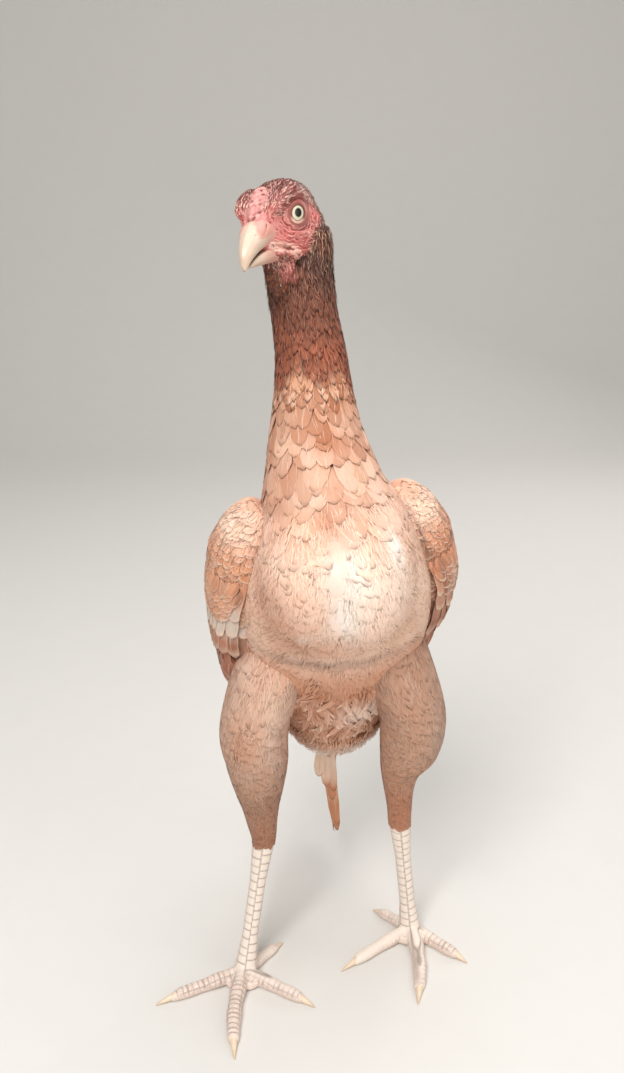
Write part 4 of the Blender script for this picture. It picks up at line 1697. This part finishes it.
class HEN_OT_tail_feathers(bpy.types.Operator):
    """The tail's folded fan, coverts over its root, and the feathers under it that face ahead"""
    bl_idname = "hen.tail_feathers"
    bl_label = "Tail feathers"

    def execute(self, context):
        finish = feather_finish("tail_feather", tints().brown_rim, srgb(226, 188, 158), 0.75, 0.25)
        coat = Coat("tail_feathers", 71)
        draw = coat.draw
        for side in ("left", "right"):
            def fan(down, behind):
                return tail_place(side, down, behind, 0 * down)

            inside = TAIL_ROOT + np.array([-20 if side == "left" else 20, 0, -30.0])
            hand = surface_hand(fan, 30.0, 0.0, inside)
            for fans, reach, width, start, step in TAIL_TIERS:
                count = len(fans)
                turn = np.radians(fans) - TAIL_AXIS
                level = start + step * np.arange(count)
                paint = CINNAMON if start < 1 else BUFF

                def ground(down, behind):
                    return blend(paint, RUSSET, ramp(mottle(down, behind, 28, 50, 20), 0.1, 0.9) * 0.5)

                coat.add(fan, hand, (np.full(count, 3.0), 5 * np.sin(turn)), turn,
                         reach * draw.uniform(0.97, 1.0, count), width, BROAD_TIP, sunk=-(level + 0.9),
                         rise=level - 0.2, camber=0.08, tilt=-0.04, thick=0.4, ground=ground,
                         shade=varied(draw, count, 0.06, 0.04), marks=coat_marks(count, draw, 0.4, 0.4),
                         bake=(np.full(count, 0.5 if side == "left" else 0.2) + fans / 200, level / 20))

        def under(down, across):
            return tail_place("left", down, -0.19 * down - 6.0, across)

        hand = surface_hand(under, 30.0, 0.0, TAIL_ROOT + np.array([0, 40, 0.0]))
        # Under the tail: root across, tip down and across, and width
        lower = np.array(((-3.0, 98, 3.2, 9.0), (0.5, 92, 3.6, 7.5), (0.0, 60, 1.0, 9.0),
                          (2.0, 50, 2.5, 8.0),
                          (-3.5, 44, -3.5, 9.0), (-6.0, 32, -9.5, 9.0)))
        count = len(lower)
        way = np.stack([lower[:, 1], lower[:, 2] - lower[:, 0]], -1)

        def pale_end(down, across):
            return blend(CREAM, blend(CINNAMON, BUFF, 0.35 + 0 * down), ramp(down, 30, 46))

        coat.add(under, hand, (np.full(count, 1.0), lower[:, 0]), np.arctan2(way[:, 1], way[:, 0]),
                 np.hypot(way[:, 0], way[:, 1]), lower[:, 3], BROAD_TIP,
                 sunk=-0.2 - 0.35 * np.arange(count),
                 rise=0.5 + 0.3 * np.arange(count), camber=0.12, thick=0.4, ground=pale_end,
                 shade=varied(draw, count, 0.04, 0.03), marks=coat_marks(count, draw, 0.7, 0.5),
                 bake=(0.8 + 0.02 * np.arange(count), np.full(count, 0.1)))
        coat.make(finish, "wing_plumage")
        trunk_coat("vent_fluff", 72, strand_finish("fluff", 0.08), "plumage", 13.2, 15.6, 0.35, 2.85, 2.0,
            1.6, ((13, 15), (16, 20)), 1.0, STRAND_TIP, 0.35, 0.15, spread=0.35, lift=2.6, light=0.08,
            bend=0.22, curl=1.5, sunk=0.05, strand=True)
        return {"FINISHED"}


def head_lie(p):
    """The way the head's feathers and bristles lie: back over crown and face, down the neck."""
    down = np.array([0, 0, -1.0]) @ AXES.T
    share = np.clip((-p[..., 0] - 12) / 10, 0, 1) + np.clip((-p[..., 2] - 16) / 8, 0, 1)
    return unit(blend(np.array([-1.0, 0, 0.0]), down, np.clip(share, 0, 1)))


EAR_TUFT = (-33.0, 12.5, -16.0)


def even_ways(count):
    """Directions spread evenly over a ball along a golden spiral, as angles v and u."""
    k = np.arange(count) + 0.5
    v = np.arccos(1 - 2 * k / count)
    return v, (k * np.pi * (3 - math.sqrt(5))) % (2 * np.pi)


class Tufts(Coat):
    """Short feathers or bristles on the head. Each is laid flat on local axes, and then every
    station is moved along its ray from the head's middle onto the skin. Roots where the skin
    lies along that ray are left out."""

    def add(self, v, u, length, width, tip, sunk, rise, thick, ground, marks, spread):
        count = len(v)
        here = HEAD.surface(v, u)
        slope_v = HEAD.surface(v + SLOPE_STEP, u) - HEAD.surface(v - SLOPE_STEP, u)
        slope_u = HEAD.surface(v, u + SLOPE_STEP) - HEAD.surface(v, u - SLOPE_STEP)
        normal = unit(np.cross(slope_v, slope_u))
        outward = here - from_head(HEAD_MIDDLE)
        normal *= np.where((normal * outward).sum(-1, keepdims=True) < 0, -1.0, 1.0)
        clear = (normal * unit(outward)).sum(-1) > 0.45
        normal = unit(normal + 0.8 * unit(outward))
        lie = head_lie(to_head(here)) @ AXES
        lie = unit(lie - (lie * normal).sum(-1, keepdims=True) * normal)
        side = np.cross(lie, normal)
        angle = self.draw.normal(0, spread, count)[:, None]
        lie, side = lie * np.cos(angle) + side * np.sin(angle), side * np.cos(angle) - lie * np.sin(angle)
        t, w = (row[None, :, None] for row in tip)
        x = (width / 2)[:, None, None] * w * self.across
        y = length[:, None, None] * t + 0 * x
        height = (-sunk + (sunk + rise[:, None, None]) * t**0.8 - thick * self.under
                  - 0.15 * np.abs(x))
        flat = (here[:, None, None, :] + lie[:, None, None, :] * y[..., None]
                + side[:, None, None, :] * x[..., None])
        ray = to_head(flat) - HEAD_MIDDLE
        far = np.linalg.norm(ray, axis=-1)
        laid = HEAD.surface(np.arccos(np.clip(ray[..., 0] / far, -1, 1)),
                            np.arctan2(ray[..., 2], ray[..., 1]) % (2 * np.pi))
        reach = np.linalg.norm(to_head(laid) - HEAD_MIDDLE, axis=-1)
        share = 1 - ramp(reach, HEAD_REACH - 5, HEAD_REACH - 2.5)
        spots = blend(flat, laid, share) + normal[:, None, None, :] * height[..., None]
        ground = np.clip(ground, DARKEST, LIGHTEST)[:, None, None, :]
        self.gather(spots[clear], t, (u[clear] / (2 * np.pi), v[clear] / np.pi), ground[clear],
                    marks[clear])


def head_roots(count):
    """Angles spread evenly over the head, and their places on its skin."""
    v, u = even_ways(count)
    return v, u, to_head(HEAD.surface(v, u))


def throat_short(p):
    """The share of their length that tufts keep: less under the beak."""
    return 1 - 0.55 * ramp(p[:, 0], -14, -4) * ramp(-p[:, 2], 14, 22)


class HEN_OT_head_feathers(bpy.types.Operator):
    """Small dark feathers behind the face and on the throat, and bristles on crown and face"""
    bl_idname = "hen.head_feathers"
    bl_label = "Head feathers"

    def execute(self, context):
        hackle = feather_finish("head_feather", tints().hackle_tip, tints().hackle_tip, 0.7, 0.16, 0.0)
        coat = Tufts("head_feathers", 81)
        draw = coat.draw
        v, u, p = head_roots(6500)
        bare = feather_line(p)
        keep = draw.uniform(0, 1, len(v)) > ramp(bare, 0.0, 0.6) * 1.02
        keep &= np.linalg.norm(p - HEAD_MIDDLE, axis=-1) < HEAD_REACH - 2
        v, u, p = v[keep], u[keep], p[keep]
        count = len(v)
        mirrored = np.abs(p) * [0, 1, 0] + p * [1, 0, 1]
        ear = np.exp(-(np.linalg.norm(mirrored - EAR_TUFT, axis=-1) / 8.0)**2)
        tone = draw.uniform(0, 1, count)
        ground = blend(UMBER, RUSSET, tone * 0.8)
        ground = blend(ground, WHEAT, ramp(ear + 0.25 * tone, 0.45, 0.8)) * varied(draw, count, 0.16, 0.05)
        short = throat_short(p)
        coat.add(v, u, draw.uniform(4.5, 8, count) * short, draw.uniform(1.5, 2.4, count), POINTED_TIP, 0.8,
                 draw.uniform(0.5, 1.2, count), 0.15, ground,
                 coat_marks(count, draw, 0.4, 0.8), 0.25)
        coat.make(hackle, "neck_plumage")
        coat = Tufts("head_strands", 83, strand=True)
        draw = coat.draw
        v, u, p = head_roots(13000)
        keep = draw.uniform(0, 1, len(v)) > feather_line(p) * 1.02
        keep &= np.linalg.norm(p - HEAD_MIDDLE, axis=-1) < HEAD_REACH - 2
        v, u, p = v[keep], u[keep], p[keep]
        count = len(v)
        pale = 0.25 + 0.35 * ramp(p[:, 0], -40, -24) * ramp(p[:, 1], 2, 8)
        tone = (draw.uniform(0, 1, count) < pale * (1 - ramp(p[:, 0], -12, -4) * 0.7))[:, None]
        ground = np.where(tone, srgb(220, 172, 142), srgb(92, 46, 34)) * varied(draw, count, 0.15, 0.05)
        short = throat_short(p)
        coat.add(v, u, draw.uniform(3.5, 6, count) * short, draw.uniform(0.4, 0.65, count), BRISTLE, 0.2,
                 draw.uniform(0.9, 1.8, count) * short**2, 0.12, ground,
                 coat_marks(count, draw, 0.2, 0.2), 0.3)
        strand = strand_finish("bristle", 0.0)
        coat.make(strand, "neck_plumage")
        coat = Tufts("face_bristles", 82, strand=True)
        draw = coat.draw
        v, u, p = head_roots(19000)
        bare = feather_line(p)
        away = np.hypot(p[:, 0] - EYE_PLACE[0], p[:, 2] - EYE_PLACE[2])
        comb = comb_gap(p) < draw.uniform(-0.2, 1.6, len(v))
        crown = ramp(p[:, 2], 2, 8)
        cheek = ramp(-p[:, 2], 4, 12) * ramp(-p[:, 0], -6, 6) * 0.35
        border = 4 * bare * (1 - bare)
        want = np.clip(crown * 0.7 + cheek + border * 1.3, 0, 1)
        want *= ramp(away, 8.5, 10.5) * np.maximum(bare, 0.6)
        patch = np.linalg.norm((from_head(p) - WATTLE_PATCH) / WATTLE_SIZE, axis=-1)
        want *= 0.12 + 0.88 * ramp(patch, 0.9, 1.5)
        keep = (draw.uniform(0, 1, len(v)) < want) & ~comb & (p[:, 0] < 17)
        v, u, p = v[keep], u[keep], p[keep]
        count = len(v)
        pale = (draw.uniform(0, 1, count) < 0.66 - 0.40 * ramp(p[:, 2], 11, 17))[:, None]
        ground = np.where(pale, srgb(246, 204, 190), srgb(104, 50, 44)) * varied(draw, count, 0.1, 0.05)
        size = np.interp(p[:, 2], (-20, -8, 0, 8, 18), (4.4, 2.6, 1.6, 3.6, 4.6))
        coat.add(v, u, size * draw.uniform(0.6, 1.3, count), draw.uniform(0.22, 0.38, count), BRISTLE, 0.25,
                 draw.uniform(0.2, 0.6, count), 0.12, ground,
                 coat_marks(count, draw, 0.0, 0.1), 0.25)
        coat.make(strand, "face_skin")
        return {"FINISHED"}


def shank_ring(side, t, angle, grow=0.0):
    """The bare shank at a share of its length: ellipses, widest at the joints."""
    leg = LEGS[side]
    hock, foot = np.array(leg["hock"], float), np.array(leg["foot"], float)
    top = hock - np.array([0, 0, 0.3])
    centre = top + (foot - top) * t[..., None]
    centre[..., 1] += np.sin(np.pi * t) * 2
    at = [0, 0.12, 0.3, 0.7, 0.86, 0.95, 1.0]
    half = SHANK_HALF * np.interp(t, at, [1.38, 1.22, 1.0, 0.98, 1.28, 1.5, 1.3])
    deep = SHANK_HALF * np.interp(t, at, [1.5, 1.35, 1.15, 1.1, 1.3, 1.5, 1.3])
    centre[..., 0] += (half + grow) * np.cos(angle)
    centre[..., 1] += (deep + grow) * np.sin(angle)
    return centre


TOE_ENDS = (-0.02, 0.83)


def toe_ways(heading):
    """Level directions along a toe and across it, from its heading in degrees."""
    heading = math.radians(heading)
    return (np.array([math.sin(heading), -math.cos(heading), 0.0]),
            np.array([math.cos(heading), math.sin(heading), 0.0]))


def toe_ring(side, toe, share, angle):
    """A toe at a share of its reach: rounded above, pressed flat on the floor, with a swelling
    at each joint."""
    reach, heading, bow, girth = LEGS[side]["toes"][toe]
    ahead, across = toe_ways(heading)
    knuckle = 1 + 0.07 * np.cos(share * 2 * np.pi * (3.4 if toe == "middle" else 2.9) + 0.6)
    wide = girth * np.interp(share, [0, 0.3, 0.75, 0.85], [1.08, 0.98, 0.86, 0.55]) * knuckle
    high = girth * np.interp(share, [0, 0.3, 0.75, 0.85], [1.25, 1.0, 0.78, 0.5]) * (0.5 + 0.5 * knuckle)
    centre = np.array(LEGS[side]["foot"], float) + share[..., None] * ahead * reach
    centre = centre + (wide * np.cos(angle) + bow * np.sin(np.pi * share))[..., None] * across
    centre[..., 2] = np.maximum(high * (0.85 + np.sin(angle)), 0.0)
    return centre


def claw_ring(side, toe, t, angle):
    """A claw: a tapering curve from the toe's end down to the floor."""
    reach, heading, bow, girth = LEGS[side]["toes"][toe]
    ahead, across = toe_ways(heading)
    start = 0.785 * reach
    run = start + (reach - start) * t
    wide = girth * 0.5 * (1 - t)**0.75 + 0.25
    high = girth * 0.5 * (1 - t)**0.8 + 0.25
    middle = girth * 0.62 * (1 - t)**0.8 + 0.35
    centre = np.array(LEGS[side]["foot"], float) + run[..., None] * ahead
    centre = centre + (wide * np.cos(angle) + bow * np.sin(np.pi * run / reach))[..., None] * across
    centre[..., 2] = np.maximum(middle + high * np.sin(angle), 0.02)
    return centre


# Rows of plates down the shank, its length, and the length of a toe's plates
SHANK_PLATES = 17
SHANK_LENGTH = 112.0
TOE_PLATE = 4.3


def scute_relief(side, body):
    """For places on a foot: height of its plates in millimetres and how deep in a line each
    place lies. Along shank and toes, plates are rows of two columns on the face that shows."""
    leg = LEGS[side]
    hock, foot = np.array(leg["hock"], float), np.array(leg["foot"], float)
    way = foot - hock
    t = ((body - hock) @ way) / (way @ way)
    centre = hock + t[:, None] * way
    angle = np.arctan2(body[:, 1] - centre[:, 1] - 2 * np.sin(np.pi * np.clip(t, 0, 1)),
                       body[:, 0] - centre[:, 0])
    front = -np.sin(angle)
    on_shank = 1 - ramp(t, 0.90, 0.96)
    column = np.cos(angle) > -0.02 * np.sin(t * 40)
    row = t * SHANK_PLATES + np.where(column, 0.5, 0.0) + 0.08 * np.sin(t * 31)
    cell = row % 1.0
    gap = np.minimum(cell, 1 - cell) / SHANK_PLATES * SHANK_LENGTH
    seam = np.abs(np.cos(angle)) * SHANK_HALF
    facing = ramp(front, 0.12, 0.35)
    gap_side = np.abs(np.abs(angle + np.pi / 2) - 1.12) * SHANK_HALF
    lines = np.maximum(np.exp(-(gap / 0.42)**2) * facing, np.exp(-(seam / 0.38)**2) * facing * 0.9)
    lines = np.maximum(lines, np.exp(-(gap_side / 0.4)**2) * 0.7)
    line = lines * on_shank
    height = (0.32 * cell - 0.5 * lines) * facing * on_shank
    best = np.full(len(body), 1e3)
    toe_line, toe_height = np.zeros(len(body)), np.zeros(len(body))
    for reach, heading, bow, girth in leg["toes"].values():
        ahead, across = toe_ways(heading)
        s = (body - foot) @ ahead
        x = (body - foot) @ across - bow * np.sin(np.pi * np.clip(s / reach, 0, 1))
        d = np.hypot(x, np.maximum(-s, 0))
        cell = (s / TOE_PLATE + 0.1 * np.sin(s)) % 1.0
        gap = np.minimum(cell, 1 - cell) * TOE_PLATE
        top = ramp(body[:, 2], girth * 0.7, girth * 1.25) * ramp(s, 5, 9)
        here_line = np.exp(-(gap / 0.42)**2) * top
        edge = np.exp(-((np.abs(x) - girth * 0.72) / 0.4)**2) * top * 0.6
        here_line = np.maximum(here_line, edge)
        here_height = (0.3 * (1 - cell) - 0.45 * here_line) * top
        nearer = d < best
        best = np.where(nearer, d, best)
        toe_line = np.where(nearer, here_line, toe_line)
        toe_height = np.where(nearer, here_height, toe_height)
    line = np.maximum(line, toe_line * (1 - on_shank))
    height = height + toe_height * (1 - on_shank)
    return height, line, front, on_shank


class HEN_OT_feet(bpy.types.Operator):
    """The scaled shanks and toes, fused into one foot each, and the claws"""
    bl_idname = "hen.feet"
    bl_label = "Feet and claws"

    def execute(self, context):
        finish = scale_finish()
        claw_paint = horn_finish("claw_horn", srgb(232, 210, 184), srgb(205, 178, 150), srgb(222, 180, 160))
        angle = np.linspace(0, 2 * np.pi, 48, endpoint=False)
        for side in LEGS:
            t = np.linspace(-0.05, 0.985, 90)[:, None]
            tt, aa = np.broadcast_arrays(t, angle)
            rings = shank_ring(side, tt, aa)
            rings[..., 2] = np.maximum(rings[..., 2], 0.0)
            parts = [closed_tube(to_frame(rings))]
            for toe in LEGS[side]["toes"]:
                share = np.linspace(*TOE_ENDS, 60)[:, None]
                ss, aa = np.broadcast_arrays(share, angle)
                parts.append(closed_tube(to_frame(toe_ring(side, toe, ss, aa))))
            parts += self.webs(side)
            spots, normals, faces = remeshed(parts, sizes().foot_voxel, 5)
            body = spots / MM - SHIFT
            height, line, front, on_shank = scute_relief(side, body)
            low = ramp(body[:, 2], 0.4, 2.5)
            spots = spots + normals * (height * low * MM)[:, None]
            spots[:, 2] = np.maximum(spots[:, 2], 0.0)
            ground = blend(srgb(232, 212, 200), srgb(238, 224, 212), on_shank)
            wear = 1 - ramp(front, 0.0, 0.4) * on_shank
            marks = np.column_stack([line * low, wear, 0 * wear])
            nodes = (f"shank_{side}", *(f"toe_{toe}_{side}" for toe in LEGS[side]["toes"]))
            make_piece(f"foot_{side}", spots, faces, finish, None, {"ground": ground},
                       {"marks": marks}, nodes)
            for toe in LEGS[side]["toes"]:
                t = np.linspace(0, 1, 30)[:, None]
                tt, aa = np.broadcast_arrays(t, angle[::2])
                marks = np.stack([(1 - ramp(tt, 0, 0.25)) * 0.5, ramp(tt, 0.5, 1) * 0.8, 0 * tt], -1)
                tube_piece(f"nail_{toe}_{side}", claw_ring(side, toe, tt, aa), claw_paint,
                           f"claw_{toe}_{side}", marks)
        return {"FINISHED"}

    def webs(self, side):
        """Low pads of skin between the front toes' roots: flattened balls on the foot."""
        foot = np.array(LEGS[side]["foot"], float)
        v = np.linspace(0.02, np.pi - 0.02, 20)[:, None]
        u = np.linspace(0, 2 * np.pi, 32, endpoint=False)[None, :]
        made = []
        toes = LEGS[side]["toes"]
        for first, second in (("middle", "inner"), ("middle", "outer")):
            ahead, _ = toe_ways((toes[first][1] + toes[second][1]) / 2)
            spots = foot + ahead * 9 + (0, 0, 3.4) + np.stack(
                [9.5 * np.sin(v) * np.cos(u), 9.5 * np.sin(v) * np.sin(u), 4.4 * np.cos(v) + 0 * u], -1)
            spots[..., 2] = np.maximum(spots[..., 2], 0.0)
            made.append(closed_tube(to_frame(spots)))
        return made


# Soft lights: name, place, what each is turned to, its two sizes, watts and colour
LIGHTS = (
    ("key", (-0.5, -1.5, 1.9), (0, 0, 0.35), (0.9, 0.9), 42, (1.0, 0.985, 0.96)),
    ("fill", (1.5, -1.1, 0.9), (0, 0, 0.35), (1.4, 1.4), 9, (1.0, 0.97, 0.93)),
    ("above", (0.2, -0.1, 2.0), (0, 0, 0.3), (1.4, 1.4), 16, (1.0, 1.0, 1.0)),
    ("rim", (0.8, 1.4, 1.2), (0, 0, 0.4), (0.9, 0.9), 8, (1.0, 0.98, 0.95)),
)
PHOTO_SIZE = (624, 1073)


def area_light(name, place, aim, size, power, colour):
    """A soft light that is turned to a place."""
    data = bpy.data.lights.new(name, "AREA")
    data.shape = "RECTANGLE"
    data.size, data.size_y = size
    data.energy = power
    data.color = colour
    lamp = bpy.data.objects.new(name, data)
    lamp.location = place
    lamp.rotation_euler = (Vector(aim) - Vector(place)).to_track_quat("-Z", "Y").to_euler()
    bpy.context.scene.collection.objects.link(lamp)


class HEN_OT_stage(bpy.types.Operator):
    """The pale floor and its sweep, soft studio lights, and the camera"""
    bl_idname = "hen.stage"
    bl_label = "Stage"

    def execute(self, context):
        scene = context.scene
        x = np.linspace(-4, 4, 40)
        run = np.linspace(-3.0, 5.0, 80)
        bend, radius = 1.6, 0.8
        over = np.clip(run - bend, 0, radius * np.pi / 2)
        y = np.minimum(run, bend) + radius * np.sin(over / radius)
        z = radius * (1 - np.cos(over / radius)) + np.maximum(run - bend - radius * np.pi / 2, 0)
        grid = np.stack([np.broadcast_to(x[None, :], (80, 40)), np.broadcast_to(y[:, None], (80, 40)),
                         np.broadcast_to(z[:, None], (80, 40))], -1)
        mesh = bpy.data.meshes.new("floor")
        mesh.from_pydata(grid.reshape(-1, 3).tolist(), [], grid_quads(80, 40, False).tolist())
        mesh.shade_smooth()
        mesh.materials.append(floor_finish())
        floor = bpy.data.objects.new("floor", mesh)
        scene.collection.objects.link(floor)
        for light in LIGHTS:
            area_light(*light)
        world = bpy.data.worlds.new("studio")
        scene.world = world
        world.use_nodes = True
        world.node_tree.nodes["Background"].inputs["Color"].default_value = (0.95, 0.92, 0.88, 1)
        world.node_tree.nodes["Background"].inputs["Strength"].default_value = 0.26
        data = bpy.data.cameras.new("photo_view")
        data.sensor_fit = "VERTICAL"
        data.sensor_height = 36
        data.sensor_width = data.sensor_height * PHOTO_SIZE[0] / PHOTO_SIZE[1]
        data.lens = sizes().lens
        camera = bpy.data.objects.new("photo_view", data)
        camera.location = (SHIFT[0] * MM, SHIFT[1] * MM - sizes().camera_distance, sizes().camera_height)
        camera.rotation_euler = (math.pi / 2 - sizes().camera_down, 0, 0)
        scene.collection.objects.link(camera)
        scene.camera = camera
        scene.view_settings.view_transform = "Standard"
        return {"FINISHED"}


STEPS = (HEN_OT_skin, HEN_OT_eyes, HEN_OT_beak, HEN_OT_head_feathers, HEN_OT_neck_feathers,
         HEN_OT_body_feathers, HEN_OT_thigh_feathers, HEN_OT_wing_feathers, HEN_OT_tail_feathers,
         HEN_OT_feet, HEN_OT_stage)


class HEN_PT_panel(bpy.types.Panel):
    """Buttons for each group of pieces, with the sizes and colours above them"""
    bl_idname = "HEN_PT_panel"
    bl_label = "Game hen"
    bl_space_type = "VIEW_3D"
    bl_region_type = "UI"
    bl_category = "Hen"

    def draw(self, context):
        layout = self.layout
        for group in (context.scene.hen_sizes, context.scene.hen_colours):
            for name in group.bl_rna.properties.keys():
                if name not in ("rna_type", "name"):
                    layout.prop(group, name)
        for step in STEPS:
            layout.operator(step.bl_idname)


CLASSES = (HenSizes, HenColours, *STEPS, HEN_PT_panel)


def register():
    for each in CLASSES:
        bpy.utils.register_class(each)
    bpy.types.Scene.hen_sizes = bpy.props.PointerProperty(type=HenSizes)
    bpy.types.Scene.hen_colours = bpy.props.PointerProperty(type=HenColours)


def unregister():
    del bpy.types.Scene.hen_colours
    del bpy.types.Scene.hen_sizes
    for each in reversed(CLASSES):
        bpy.utils.unregister_class(each)


def main():
    register()
    for step in STEPS:
        group, name = step.bl_idname.split(".")
        getattr(getattr(bpy.ops, group), name)()


if __name__ == "__main__":
    main()
